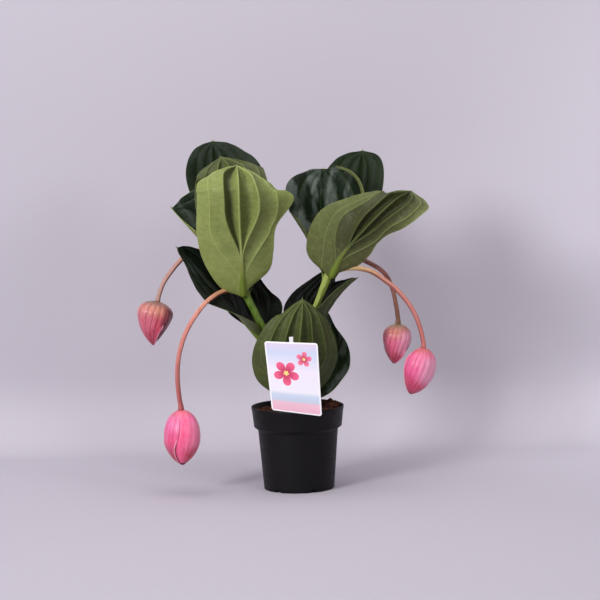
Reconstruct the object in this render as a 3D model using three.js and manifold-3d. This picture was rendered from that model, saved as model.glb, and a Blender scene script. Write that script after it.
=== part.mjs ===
// Medinilla in a black nursery pot. Millimetres, +Z up, the label and the front leaf face -Y.
// The origin is the middle of the pot's flat underside.
import * as THREE from "three";
import { mergeVertices } from "three/addons/utils/BufferGeometryUtils.js";
import Module from "manifold-3d";

const wasm = await Module();
wasm.setup();

const DEG = Math.PI / 180;
const GAP = 0.3; // clearance between neighbouring pieces

// Pot: a 14 cm nursery pot
const POT_HEIGHT = 126;
const POT_RIM_R = 70;
const POT_COLLAR_R = 66.4;
const POT_COLLAR_H = 30.5;
const POT_STEP_H = 5.4;
const POT_SHOULDER_R = 60.5;
const POT_BASE_R = 53;
const POT_WALL = 1.8;
const POT_FLOOR = 3.7;
const POT_SIDES = 40;
const POT_EDGE = 1.5; // bevel of the bottom edge
const POT_LIP = 0.8; // bevel of the rim's outer edge
const DISC_R = 20; // the underside's flat middle
const RECESS_R = [22, 43];
const RECESS_DEPTH = 1.2;
const FOOT_RING_R = 45; // inner edge of the flat outer ring
const NOTCHES = 6; // drain notches through the outer ring
const NOTCH_SIZE = [9, 14, 8];
const NOTCH_TURN = 22.8;

// Soil
const SOIL_TOP = 118;
const SOIL_SECTORS = 26;
const SOIL_RINGS = [63, 55, 46, 37, 28, 18];
const SOIL_GAP = 0.4; // clearance to the pot's wall
const CLOD_HEIGHTS = [1.5, 1.1]; // broad and small clods
const HEAP = { x: 49, y: 26, height: 9.5, spread: 500 };

// Stem: middle points and radii of the left stem with the trunk, and of the right stem
const STEM_SIDES = 8;
const LEFT_STEM = [
  [-6, 0, 62], [-6, 0, 90], [-7, 0, 122], [-11, 0, 150], [-30, 0, 199],
  [-46, 0, 235], [-62, 0, 271], [-72, 0, 292], [-76, 0, 303], [-77, 2, 317],
];
const LEFT_RADII = [7, 7, 7.5, 7, 5.2, 6.8, 5, 5.6, 7.2, 3.4];
const RIGHT_STEM = [
  [-9, 0, 138], [-6, 0, 168], [2, 0, 196], [18, 0, 238], [30, 0, 272], [44, 0, 306], [55, 0, 333],
];
const RIGHT_RADII = [5, 5.2, 5.2, 6.8, 5, 5.6, 7.2];

// Leaf blades
const BLADE = 1.1; // thickness
const LEAF_ROWS = [0, 0.04, 0.1, 0.19, 0.31, 0.44, 0.57, 0.69, 0.8, 0.9, 0.97, 1];
const LEAF_COLS = [0.14, 0.3, 0.47, 0.64, 0.82, 1];
const LEAF_STATIONS = [0, 0.04, 0.14, 0.28, 0.45, 0.63, 0.79, 0.91, 0.97, 1];
const LEAF_FOOT = 5.5; // half width where the blade meets the stem
const LEAF_POINT = 0.7; // half width of the little point at the tip, unless the leaf ends blunt
const SIDE_VEINS = [0.3, 0.64]; // shares of the half width at which the side veins run
const PLEATS = [4.4, 2, 1.2]; // depth of the pleats between the veins, from the midrib outwards
const KEEL = { at: [0, 0.15, 0.35, 0.7, 1], depth: [4.5, 3.2, 1.5, 0.8, 0.3] }; // rib under the blade
const KEEL_HALF = { at: [0, 0.15, 0.35, 1], width: [5, 3.4, 1.6, 0.3] };

// Each leaf: its rib from the stem to the tip, the direction across the blade at both ends,
// how far each half is folded up in degrees (foot, middle, tip), and the half widths at the stations.
const LEAVES = {
  leaf_left_front: {
    rib: [
      [-78, -8.9, 297.6], [-78, -38, 349], [-79, -62, 406],
      [-79, -74, 456], [-80, -58, 483], [-82, -24, 492],
    ],
    across: [[1, 0.15, 0], [1, 0.1, -0.14]],
    fold: [[13, 20, 25], [14, 18, 18]],
    left: [29, 47, 61, 67, 65, 64, 58, 42],
    right: [8, 42, 51, 58, 88, 60, 49, 36],
  },
  leaf_left_inner: {
    rib: [
      [-75.2, -5.5, 308.5], [-76, -13, 365], [-79, -16, 419],
      [-84, -8, 463], [-93, 8, 488], [-107, 30, 502],
    ],
    across: [[1, 0.1, 0.1], [1, 0.1, -0.08]],
    fold: [[15, 17.5, 20], [15, 17.5, 20]],
    left: [17, 36, 52, 64, 67, 63, 54, 38],
    right: [9, 22, 33, 43, 50, 54, 60, 52],
  },
  leaf_left_back: {
    rib: [[-72.9, 8, 298.6], [-85, 56, 351], [-102, 80, 426], [-117, 104, 487], [-122, 136, 521]],
    across: [[-1, 0, 0], [-1, 0, 0.1]],
    fold: [[12, 11, 10], [12, 11, 10]],
    left: [10, 27, 45, 63, 71, 62, 40, 22],
    right: [5, 18, 32, 43, 49, 50, 33, 17],
  },
  leaf_left_side: {
    rib: [[-79, 8.8, 310], [-116, 40, 346], [-146, 52, 380], [-170, 60, 407], [-185, 69, 424]],
    across: [[-0.15, -0.55, -0.8], [-0.1, -0.55, -0.8]],
    fold: [[45, 42.5, 40], [125, 92.5, 60]],
    left: [8, 26, 50, 72, 86, 84, 61, 40],
    right: [8, 14, 20, 20, 14, 6, 3, 2],
    blunt: [22, 2],
  },
  leaf_left_low: {
    rib: [[-54, -2, 229], [-79, -6, 258], [-111, -2, 298], [-148, 4, 344], [-175, 0, 369]],
    across: [[0, -1, -0.05], [-0.45, -0.7, -0.5]],
    fold: [[15, 12, 10], [60, -16, -12]],
    left: [9, 18, 30, 37, 38, 30, 18, 9],
    right: [9, 24, 33, 37, 32, 21, 11, 6],
  },
  leaf_left_low_back: {
    rib: [[-44.1, 7.7, 235], [-51, 32, 261], [-64, 56, 288], [-78, 78, 318], [-89, 92, 348]],
    across: [[-1, -0.1, -0.3], [-1, 0, -0.2]],
    fold: [[15, 12.5, 10], [15, 12.5, 10]],
    left: [9, 26, 35, 27, 22, 22, 14, 8],
    right: [9, 28, 42, 48, 44, 30, 16, 8],
  },
  leaf_right_front: {
    rib: [
      [56, -8, 322.6], [73, -26, 356], [102, -52, 391],
      [130, -70, 421], [157, -66, 443], [176, -40, 449],
    ],
    across: [[0.92, 0.1, -0.3], [0.84, -0.35, -0.4]],
    fold: [[20, 42, 34], [20, 20, 5]],
    left: [41, 60, 71, 64, 49, 46, 49, 36],
    right: [7, 32, 38, 32, 37, 42, 44, 35],
    blunt: [4, 24],
  },
  leaf_right_side: {
    rib: [[46.5, 9.3, 318], [47, 28, 366], [42, 50, 410], [43, 68, 453], [49, 90, 477]],
    across: [[-1, 0.15, 0], [-1, 0, -0.1]],
    fold: [[25, 27.5, 30], [35, 25, 15]],
    left: [6, 21, 42, 69, 79, 71, 43, 22],
    right: [4, 16, 25, 37, 52, 53, 28, 15],
  },
  leaf_right_back: {
    rib: [[57.3, 6.8, 320.4], [76, 52, 363], [92, 84, 410], [104, 110, 461], [109, 138, 501]],
    across: [[-1, 0.1, 0.1], [-1, 0.1, 0]],
    fold: [[12, 11, 10], [12, 11, 10]],
    left: [8, 16, 26, 34, 38, 38, 32, 20],
    right: [5, 17, 31, 47, 58, 54, 40, 22],
  },
  leaf_right_low: {
    rib: [[26.4, -1, 235.9], [45, -3, 263], [63, -3, 288], [82, 3, 307], [94, 10, 316]],
    across: [[0, 1, 0.05], [-0.5, 0.8, 0.2]],
    fold: [[40, 50, 60], [15, 15, 15]],
    left: [8, 20, 28, 28, 22, 15, 8, 5],
    right: [9, 18, 34, 42, 38, 24, 13, 7],
  },
  leaf_right_low_back: {
    rib: [[11.1, 7.9, 233.1], [10, 28, 255], [20, 52, 277], [39, 74, 300], [61, 90, 324]],
    across: [[-1, -0.1, -0.1], [-1, 0, -0.4]],
    fold: [[12, 11, 10], [12, 11, 10]],
    left: [9, 26, 38, 44, 38, 26, 13, 7],
    right: [9, 19, 30, 30, 26, 18, 10, 6],
  },
  leaf_base_front: {
    rib: [[-2.2, -9, 131.2], [2, -36, 182], [6, -53, 235], [10, -52, 269], [11, -38, 291]],
    across: [[1, 0.1, 0], [1, 0.05, 0]],
    fold: [[20, 22.5, 25], [20, 22.5, 25]],
    left: [24, 57, 70, 72, 63, 48, 30, 15],
    right: [20, 47, 60, 65, 59, 47, 30, 15],
  },
  leaf_base_back: {
    rib: [[-0.8, 6.7, 128.5], [17, 44, 170], [26, 66, 209], [31, 84, 242], [33, 100, 265]],
    across: [[-1, 0.1, 0], [-1, 0.1, 0]],
    fold: [[12, 11, 10], [12, 11, 10]],
    left: [20, 45, 57, 64, 55, 32, 20, 12],
    right: [17, 39, 55, 60, 55, 41, 18, 12],
  },
};

// Flower stalks and buds. Each stalk runs from its node on the stem down to its bud.
const STALK_R = 3.7;
const STALK_SIDES = 7;
const STALK_STEPS = 16;
const STALKS = {
  stalk_left_high: [
    [-82.4, 6.2, 306.5], [-90, 11, 318], [-101, 18, 336], [-115, 28, 350], [-133, 38, 359],
    [-152, 38, 359], [-171, 28, 348], [-189, 23, 328], [-199, 20, 313], [-208, 17, 287],
  ],
  stalk_left_low: [
    [-82.9, -1.7, 302.1], [-92, -2, 303.5], [-102, -5, 303.5], [-112, -15.6, 301.5], [-122, -32, 297.5],
    [-133, -44, 290], [-144, -49, 277.5], [-154, -50, 263.5], [-163, -49, 247.5], [-170, -48, 230],
    [-176, -48, 206], [-178, -48, 177], [-176, -47, 147], [-174, -46, 130],
  ],
  stalk_right_high: [
    [58.6, 1.8, 334.8], [81, 14, 345], [96, 17, 346], [111, 19, 339], [129, 21, 328],
    [140, 22, 316], [148, 22, 296], [153, 22, 270], [155, 22, 244],
  ],
  stalk_right_low: [
    [61.9, -2.1, 329.6], [81, -4, 333], [100, -5, 332], [118, -6, 326], [139, -8, 311],
    [152, -9, 300], [166, -10, 284], [178, -11, 265], [187, -12, 241], [191, -12, 211],
  ],
};

// Buds: top, tip, largest radius, where along the length it is widest, fullness of its lower end
// from 0 to 1, and turn of the bracts in degrees
const BUDS = {
  bud_left_high: { top: [-208, 17, 287], tip: [-216, 14, 221], r: 26.3, widest: 0.3, full: 0.1, turn: -62 },
  bud_left_low: { top: [-174, -46, 130], tip: [-174, -48, 47], r: 26.9, widest: 0.5, full: 1, turn: -12 },
  bud_right_high: { top: [155, 22, 244], tip: [147, 22, 184], r: 21.1, widest: 0.36, full: 0.5, turn: -75 },
  bud_right_low: { top: [191, -12, 211], tip: [170, -16, 142], r: 22, widest: 0.45, full: 0.8, turn: -140 },
};
const BUD_ROWS = [0, 0.03, 0.1, 0.2, 0.33, 0.47, 0.61, 0.74, 0.85, 0.93, 0.985, 1];
const OUTER_ARC = 205; // degrees round the bud that the outer bract covers
const OUTER_PLEATS = 7;
const INNER_PLEATS = 5;
const BRACT_PLEAT = 0.9;
const BRACT_LIFT = 1.7; // the outer bract's edge above the inner one
const INNER_REACH = 0.965; // the inner bract stops short of the outer one's tip
const BUD_TWIST = 22;
const BUD_NECK_R = 4.4;
const BUD_TIP_R = 0.9;
const SLIM_END = { bulge: 1.6, blunt: 0.95 }; // curve of the lower end of a slim bud
const FULL_END = { bulge: 2.1, blunt: 0.8 }; // and of a full one

// Label card on its stake: the card's corners from below left, anticlockwise
const CARD_CORNERS = [[-38, -65, 129.5], [36, -82, 121], [32, -85, 230.5], [-47, -70, 233.5]];
const CARD_T = 0.8;
const CARD_LINES = [0, 0.035, 0.25, 0.5, 0.75, 0.965, 1];
const CARD_BOW = 2.5; // how far its middle bows to the front
const CARD_ROUND = 0.975; // the corners are drawn in to this share of the card
const STAKE_W = 6;
const STAKE_T = 1.6;
const STAKE_TOP = [-7, -78, 240];
const STAKE_FOOT = [-4, -58.5, 97];

const materials = {
  pot: new THREE.MeshStandardMaterial({ name: "pot", color: 0x232226, roughness: 0.7 }),
  soil: new THREE.MeshStandardMaterial({ name: "soil", color: 0x4a2e20, roughness: 1 }),
  stem: new THREE.MeshStandardMaterial({ name: "stem", color: 0x5a8a28, roughness: 0.6 }),
  leaf: new THREE.MeshStandardMaterial({ name: "leaf", color: 0x4f6a2c, roughness: 0.45 }),
  stalk: new THREE.MeshStandardMaterial({ name: "stalk", color: 0xd08a70, roughness: 0.6 }),
  bud: new THREE.MeshStandardMaterial({ name: "bud", color: 0xe85a86, roughness: 0.5 }),
  card: new THREE.MeshStandardMaterial({ name: "card", color: 0xeee4ee, roughness: 0.4 }),
  stake: new THREE.MeshStandardMaterial({ name: "stake", color: 0xf2f2f2, roughness: 0.4 }),
};

const group = new THREE.Group();
group.name = "medinilla";

function addMesh(name, geometry, material) {
  const mesh = new THREE.Mesh(geometry, materials[material]);
  mesh.name = name;
  group.add(mesh);
}

function vec(p) {
  return new THREE.Vector3(p[0], p[1], p[2]);
}

function smooth(a, b, x) {
  const t = Math.min(Math.max((x - a) / (b - a), 0), 1);
  return t * t * (3 - 2 * t);
}

// Smooth curve through values at stations; a value is a number or a point.
function spline(stations, values, u) {
  const n = stations.length;
  let i = 0;
  while (i < n - 2 && u >= stations[i + 1]) i += 1;
  const h = stations[i + 1] - stations[i];
  const t = (u - stations[i]) / h;
  const slope = (k, pick) => {
    const a = Math.max(k - 1, 0);
    const b = Math.min(k + 1, n - 1);
    return (pick(values[b]) - pick(values[a])) / (stations[b] - stations[a]);
  };
  const blend = (pick) =>
    (2 * t ** 3 - 3 * t ** 2 + 1) * pick(values[i]) +
    (t ** 3 - 2 * t ** 2 + t) * h * slope(i, pick) +
    (3 * t ** 2 - 2 * t ** 3) * pick(values[i + 1]) +
    (t ** 3 - t ** 2) * h * slope(i + 1, pick);
  if (typeof values[0] === "number") return blend((v) => v);
  return new THREE.Vector3(blend((v) => v[0]), blend((v) => v[1]), blend((v) => v[2]));
}

// Shares of the length along a row of points, from 0 to 1.
function chordStations(points) {
  const along = [0];
  for (let i = 1; i < points.length; i += 1) {
    along.push(along[i - 1] + vec(points[i]).distanceTo(vec(points[i - 1])));
  }
  return along.map((a) => a / along[along.length - 1]);
}

function indexed(points, faces) {
  const geometry = new THREE.BufferGeometry();
  const flat = points.flatMap((p) => [p.x, p.y, p.z]);
  geometry.setAttribute("position", new THREE.Float32BufferAttribute(flat, 3));
  geometry.setIndex(faces);
  geometry.computeVertexNormals();
  return geometry;
}

// Closed solid through rings of equal point counts, each end closed to its middle.
function loft(rings) {
  const sides = rings[0].length;
  const last = rings.length - 1;
  const points = rings.flat();
  const faces = [];
  for (let i = 0; i < last; i += 1) {
    for (let j = 0; j < sides; j += 1) {
      const a = i * sides + j;
      const b = i * sides + ((j + 1) % sides);
      faces.push(a, b, b + sides, a, b + sides, a + sides);
    }
  }
  const middle = (ring) => ring.reduce((s, p) => s.add(p), new THREE.Vector3()).divideScalar(sides);
  points.push(middle(rings[0]), middle(rings[last]));
  const low = points.length - 2;
  const high = points.length - 1;
  for (let j = 0; j < sides; j += 1) {
    const k = (j + 1) % sides;
    faces.push(low, k, j);
    faces.push(high, last * sides + j, last * sides + k);
  }
  return indexed(points, faces);
}

// Closed thin solid between an upper and a lower sheet, split into triangles alike on both.
function slab(upper, lower) {
  const rows = upper.length;
  const cols = upper[0].length;
  const points = [...upper.flat(), ...lower.flat()];
  const half = rows * cols;
  const faces = [];
  for (let i = 0; i < rows - 1; i += 1) {
    for (let j = 0; j < cols - 1; j += 1) {
      const a = i * cols + j;
      const b = a + 1;
      const c = a + cols;
      const d = c + 1;
      faces.push(a, c, b, b, c, d);
      faces.push(a + half, b + half, c + half, b + half, d + half, c + half);
    }
  }
  const rim = [];
  for (let j = 0; j < cols - 1; j += 1) rim.push(j);
  for (let i = 0; i < rows - 1; i += 1) rim.push(i * cols + cols - 1);
  for (let j = cols - 1; j > 0; j -= 1) rim.push((rows - 1) * cols + j);
  for (let i = rows - 1; i > 0; i -= 1) rim.push(i * cols);
  rim.forEach((a, k) => {
    const b = rim[(k + 1) % rim.length];
    faces.push(a, b, b + half, a, b + half, a + half);
  });
  return indexed(points, faces);
}

// Round solid that follows a row of points, with a radius for each point.
function sweep(points, radii, sides, steps) {
  const stations = chordStations(points);
  const rings = [];
  let side = new THREE.Vector3(0, -1, 0);
  for (let i = 0; i <= steps; i += 1) {
    const u = i / steps;
    const ahead = spline(stations, points, Math.min(u + 0.01, 1));
    const along = ahead.sub(spline(stations, points, Math.max(u - 0.01, 0))).normalize();
    side = side.clone().addScaledVector(along, -side.dot(along)).normalize();
    const other = along.clone().cross(side);
    const middle = spline(stations, points, u);
    const r = spline(stations, radii, u);
    const ring = [];
    for (let j = 0; j < sides; j += 1) {
      const a = (j / sides) * 2 * Math.PI;
      const out = side.clone().multiplyScalar(Math.cos(a)).addScaledVector(other, Math.sin(a));
      ring.push(middle.clone().addScaledVector(out, r));
    }
    rings.push(ring);
  }
  return loft(rings);
}

function toSolid(geometry) {
  const position = geometry.getAttribute("position").array;
  const mesh = new wasm.Mesh({
    numProp: 3,
    vertProperties: new Float32Array(position),
    triVerts: new Uint32Array(geometry.index.array),
  });
  return new wasm.Manifold(mesh);
}

// A turned box as a solid, with its doubled corners merged
function boxSolid(box) {
  box.deleteAttribute("normal");
  box.deleteAttribute("uv");
  return toSolid(mergeVertices(box));
}

function toGeometry(solid) {
  const mesh = solid.getMesh();
  const geometry = new THREE.BufferGeometry();
  geometry.setAttribute("position", new THREE.BufferAttribute(mesh.vertProperties, 3));
  geometry.setIndex(new THREE.BufferAttribute(mesh.triVerts, 1));
  geometry.computeVertexNormals();
  return geometry;
}

function revolve(profile, sides) {
  const turn = (p) => {
    const ring = [];
    for (let j = 0; j < sides; j += 1) {
      const a = (j / sides) * 2 * Math.PI;
      ring.push(new THREE.Vector3(p[0] * Math.cos(a), p[0] * Math.sin(a), p[1]));
    }
    return ring;
  };
  return loft(profile.map(turn));
}

// Leaves

// Half widths of the left (0) or right (1) half from the foot to the tip
function leafWidths(leaf, side) {
  const end = leaf.blunt ? leaf.blunt[side] : LEAF_POINT;
  return [LEAF_FOOT, ...(side ? leaf.right : leaf.left), end];
}

// A point of the blade's middle sheet. c runs from -1 to 1 across, u from the foot to the tip.
function leafPoint(leaf, u, c) {
  const stations = chordStations(leaf.rib);
  const middle = spline(stations, leaf.rib, u);
  const ahead = spline(stations, leaf.rib, Math.min(u + 0.01, 1));
  const along = ahead.sub(spline(stations, leaf.rib, Math.max(u - 0.01, 0))).normalize();
  const across = vec(leaf.across[0]).lerp(vec(leaf.across[1]), u);
  across.addScaledVector(along, -across.dot(along)).normalize();
  const face = along.clone().cross(across);
  const side = c < 0 ? 0 : 1;
  const width = spline(LEAF_STATIONS, leafWidths(leaf, side), u);
  const [foot, half, tip] = leaf.fold[side];
  const fold = (u < 0.5 ? foot + (half - foot) * 2 * u : half + (tip - half) * (2 * u - 1)) * DEG;
  const v = Math.abs(c);
  const [inner, outer] = SIDE_VEINS;
  const lines = [0, inner, outer, 1];
  const field = v < inner ? 0 : v < outer ? 1 : 2;
  const place = (v - lines[field]) / (lines[field + 1] - lines[field]);
  const open = smooth(0.1, 0.34, u) * (1 - 0.7 * smooth(0.9, 1, u));
  const pleat = PLEATS[field] * open * Math.sin(Math.PI * place) ** 2;
  const lift = width * Math.sin(fold) * v * v + pleat;
  return middle
    .addScaledVector(across, Math.sign(c) * v * width * Math.cos(fold))
    .addScaledVector(face, lift);
}

function leafGeometry(leaf) {
  const upper = [];
  const lower = [];
  LEAF_ROWS.forEach((u) => {
    const keel = spline(KEEL.at, KEEL.depth, u);
    const keelHalf = spline(KEEL_HALF.at, KEEL_HALF.width, u);
    const cs = [];
    for (const side of [-1, 1]) {
      const r = Math.min(keelHalf / spline(LEAF_STATIONS, leafWidths(leaf, side > 0 ? 1 : 0), u), 0.6);
      const half = [r, ...LEAF_COLS.map((c) => r + (1 - r) * c)];
      if (side < 0) cs.push(...half.map((c) => -c).reverse(), 0);
      else cs.push(...half);
    }
    const middle = (cs.length - 1) / 2;
    const top = [];
    const bottom = [];
    cs.forEach((c, j) => {
      const e = 0.02;
      const p = leafPoint(leaf, u, c);
      const du = leafPoint(leaf, Math.min(u + e, 1), c).sub(leafPoint(leaf, Math.max(u - e, 0), c));
      const dc = leafPoint(leaf, u, Math.min(c + e, 1)).sub(leafPoint(leaf, u, Math.max(c - e, -1)));
      const normal = du.cross(dc).normalize();
      const ridge = j === middle ? keel : Math.abs(j - middle) === 1 ? keel * 0.45 : 0;
      top.push(p.clone().addScaledVector(normal, BLADE / 2));
      bottom.push(p.clone().addScaledVector(normal, -BLADE / 2 - ridge));
    });
    upper.push(top);
    lower.push(bottom);
  });
  return slab(upper, lower);
}

// Pot

function potSolid() {
  const collarLow = POT_HEIGHT - POT_COLLAR_H;
  const shoulder = collarLow - POT_STEP_H;
  const outside = [
    [DISC_R, 0], [RECESS_R[0], RECESS_DEPTH], [RECESS_R[1], RECESS_DEPTH], [FOOT_RING_R, 0],
    [POT_BASE_R - POT_EDGE, 0], [POT_BASE_R, POT_EDGE], [POT_SHOULDER_R, shoulder],
    [POT_COLLAR_R, collarLow], [POT_RIM_R, POT_HEIGHT - POT_LIP], [POT_RIM_R - POT_LIP, POT_HEIGHT],
  ];
  const inside = [
    [POT_RIM_R - POT_WALL, POT_HEIGHT], [POT_COLLAR_R - POT_WALL, collarLow],
    [POT_SHOULDER_R - POT_WALL, shoulder], [POT_BASE_R - POT_WALL, POT_FLOOR],
  ];
  let pot = toSolid(revolve([...outside, ...inside], POT_SIDES));
  for (let k = 0; k < NOTCHES; k += 1) {
    const notch = new THREE.BoxGeometry(...NOTCH_SIZE).translate(0, -POT_BASE_R, 0);
    notch.rotateZ((NOTCH_TURN + (k * 360) / NOTCHES) * DEG);
    pot = pot.subtract(boxSolid(notch));
  }
  return pot;
}

// Soil

// Height of the lumpy soil: small clods by a fixed rule and a heap towards the right and back.
function soilHeight(x, y) {
  const broad = CLOD_HEIGHTS[0] * Math.sin(x * 0.31 + 1.3) * Math.sin(y * 0.37 + 0.4);
  const small = CLOD_HEIGHTS[1] * Math.sin(x * 0.83 + y * 0.57) * Math.cos(y * 0.71 - x * 0.43);
  const heap = HEAP.height * Math.exp(-((x - HEAP.x) ** 2 + (y - HEAP.y) ** 2) / HEAP.spread);
  return SOIL_TOP + broad + small + heap;
}

function soilSolid() {
  const collarLow = POT_HEIGHT - POT_COLLAR_H;
  const shoulder = collarLow - POT_STEP_H;
  const wallR = (z) => POT_COLLAR_R + ((POT_RIM_R - POT_COLLAR_R) * (z - collarLow)) / POT_COLLAR_H;
  const ring = (r, height) => {
    const points = [];
    for (let j = 0; j < SOIL_SECTORS; j += 1) {
      const a = ((j + 0.5) / SOIL_SECTORS) * 2 * Math.PI;
      const x = r * Math.cos(a);
      const y = r * Math.sin(a);
      points.push(new THREE.Vector3(x, y, height(x, y)));
    }
    return points;
  };
  const level = (z) => () => z;
  const inset = POT_WALL + SOIL_GAP;
  const edge = SOIL_TOP - 3;
  const rings = [
    ring(POT_BASE_R - inset, level(POT_FLOOR + SOIL_GAP)),
    ring(POT_SHOULDER_R - inset, level(shoulder + SOIL_GAP)),
    ring(POT_COLLAR_R - inset, level(collarLow + SOIL_GAP)),
    ring(wallR(edge) - inset, level(edge)),
    ...SOIL_RINGS.map((r) => ring(r, soilHeight)),
  ];
  return toSolid(loft(rings));
}

// Stem

// The stem, or with an extra the room it needs in the soil
function stemSolid(extra) {
  const grow = (radii) => radii.map((r) => r + extra);
  const [x, y, z] = LEFT_STEM[0];
  const route = [[x, y, z - extra], ...LEFT_STEM.slice(1)];
  const left = toSolid(sweep(route, grow(LEFT_RADII), STEM_SIDES, 16));
  return left.add(toSolid(sweep(RIGHT_STEM, grow(RIGHT_RADII), STEM_SIDES, 12)));
}

// Share of the bud's radius at a share s of its length, from the neck at 0 to the tip at 1
function budForm(bud, s) {
  const w = bud.widest;
  if (s < w) return Math.sqrt(1 - (1 - s / w) ** 2);
  const bulge = THREE.MathUtils.lerp(SLIM_END.bulge, FULL_END.bulge, bud.full);
  const blunt = THREE.MathUtils.lerp(SLIM_END.blunt, FULL_END.blunt, bud.full);
  return (1 - ((s - w) / (1 - w)) ** bulge) ** blunt;
}

// Buds: pleated bracts in two layers that meet in a point at the tip.
function budGeometry(bud) {
  const top = vec(bud.top);
  const tip = vec(bud.tip);
  const length = tip.distanceTo(top);
  const bend = top.clone().addScaledVector(vec(bud.lead), length * 0.45);
  const axis = new THREE.QuadraticBezierCurve3(top, bend, tip);
  const columns = [];
  const layer = (start, arc, pleats, lift, reach) => {
    for (let k = 0; k <= 2 * pleats; k += 1) {
      columns.push({ angle: start + (arc * k) / (2 * pleats), ridge: k % 2, lift, reach });
    }
  };
  layer(0, OUTER_ARC, OUTER_PLEATS, BRACT_LIFT, 1);
  layer(OUTER_ARC + 3, 354 - OUTER_ARC, INNER_PLEATS, 0, INNER_REACH);
  const rings = BUD_ROWS.map((s) => {
    const form = budForm(bud, s);
    const least = s < bud.widest ? BUD_NECK_R : BUD_TIP_R;
    const body = smooth(0.02, 0.3, s) * (1 - smooth(0.9, 1, s));
    return columns.map((c) => {
      const a = (c.angle + bud.turn + BUD_TWIST * s) * DEG;
      const pleat = BRACT_PLEAT * (c.ridge - 0.5) * 2;
      const r = Math.max(bud.r * form, least) + body * (c.lift + pleat);
      const along = (GAP / length) * (1 - s) + s * (1 - (1 - c.reach) * smooth(0.5, 1, s));
      const down = axis.getTangent(along);
      const side = new THREE.Vector3(0, -1, 0).addScaledVector(down, down.y).normalize();
      const other = down.clone().cross(side);
      return axis
        .getPoint(along)
        .addScaledVector(side, r * Math.cos(a))
        .addScaledVector(other, r * Math.sin(a));
    });
  });
  return loft(rings);
}

// The stalk's end is turned to meet its bud squarely.
function stalkGeometry(points, bud) {
  const end = vec(bud.top);
  const before = end.clone().addScaledVector(vec(bud.lead), -7);
  const route = [...points.slice(0, -1), before.toArray(), end.toArray()];
  return sweep(route, route.map(() => STALK_R), STALK_SIDES, STALK_STEPS);
}

// Direction in which the bud leaves its stalk: between the stalk's last run and the bud's length
function leadInto(points, bud) {
  const run = vec(bud.top).sub(vec(points[points.length - 2])).normalize();
  const length = vec(bud.tip).sub(vec(bud.top)).normalize();
  return run.add(length).normalize().toArray();
}

// Label

function cardGeometry() {
  const [lowLeft, lowRight, highRight, highLeft] = CARD_CORNERS.map(vec);
  const last = CARD_LINES.length - 1;
  const sheet = (depth) =>
    CARD_LINES.map((v, i) =>
      CARD_LINES.map((u, j) => {
        const corner = (i === 0 || i === last) && (j === 0 || j === last);
        const s = corner ? 0.5 + (u - 0.5) * CARD_ROUND : u;
        const t = corner ? 0.5 + (v - 0.5) * CARD_ROUND : v;
        const p = lowLeft.clone().lerp(lowRight, s).lerp(highLeft.clone().lerp(highRight, s), t);
        p.y += depth - CARD_BOW * Math.sin(Math.PI * s) * Math.sin(Math.PI * t * 0.8);
        return p;
      }));
  return slab(sheet(CARD_T / 2), sheet(-CARD_T / 2));
}

function stakeSolid(extra) {
  const foot = vec(STAKE_FOOT);
  const run = vec(STAKE_TOP).sub(foot);
  const size = [STAKE_W, STAKE_T, run.length()].map((side) => side + 2 * extra);
  const strip = new THREE.BoxGeometry(...size);
  strip.translate(0, 0, run.length() / 2);
  const turn = new THREE.Quaternion().setFromUnitVectors(new THREE.Vector3(0, 0, 1), run.normalize());
  strip.applyQuaternion(turn);
  strip.translate(foot.x, foot.y, foot.z);
  return boxSolid(strip);
}

const stakeHole = stakeSolid(GAP);
const stemHole = stemSolid(GAP + 0.05);

addMesh("pot", toGeometry(potSolid()), "pot");
addMesh("soil", toGeometry(soilSolid().subtract(stemHole).subtract(stakeHole)), "soil");
addMesh("stem", toGeometry(stemSolid(0)), "stem");
Object.entries(LEAVES).forEach(([name, leaf]) => addMesh(name, leafGeometry(leaf), "leaf"));
Object.entries(STALKS).forEach(([name, points]) => {
  const budName = name.replace("stalk", "bud");
  const bud = { ...BUDS[budName], lead: leadInto(points, BUDS[budName]) };
  addMesh(name, stalkGeometry(points, bud), "stalk");
  addMesh(budName, budGeometry(bud), "bud");
});
addMesh("label_card", cardGeometry(), "card");
addMesh("label_stake", toGeometry(stakeSolid(0)), "stake");

export default group;
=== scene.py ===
# %% [markdown]
# # A medinilla in its nursery pot
# The plant stands in a black plastic pot: a forked green stem, thirteen large ribbed leaves, four
# closed pink buds on arching stalks, and a picture label on a stake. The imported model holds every
# piece at its real size and place, as plain faceted solids. This lesson makes a fine mesh for each of
# them and gives it a finish. All lengths are metres in the model's own frame, so the measures below
# are written in millimetres and multiplied by MM.

# %% Load the frame
import math
import random

import bmesh
import bpy
from mathutils import Euler, Matrix, Vector, noise


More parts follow.
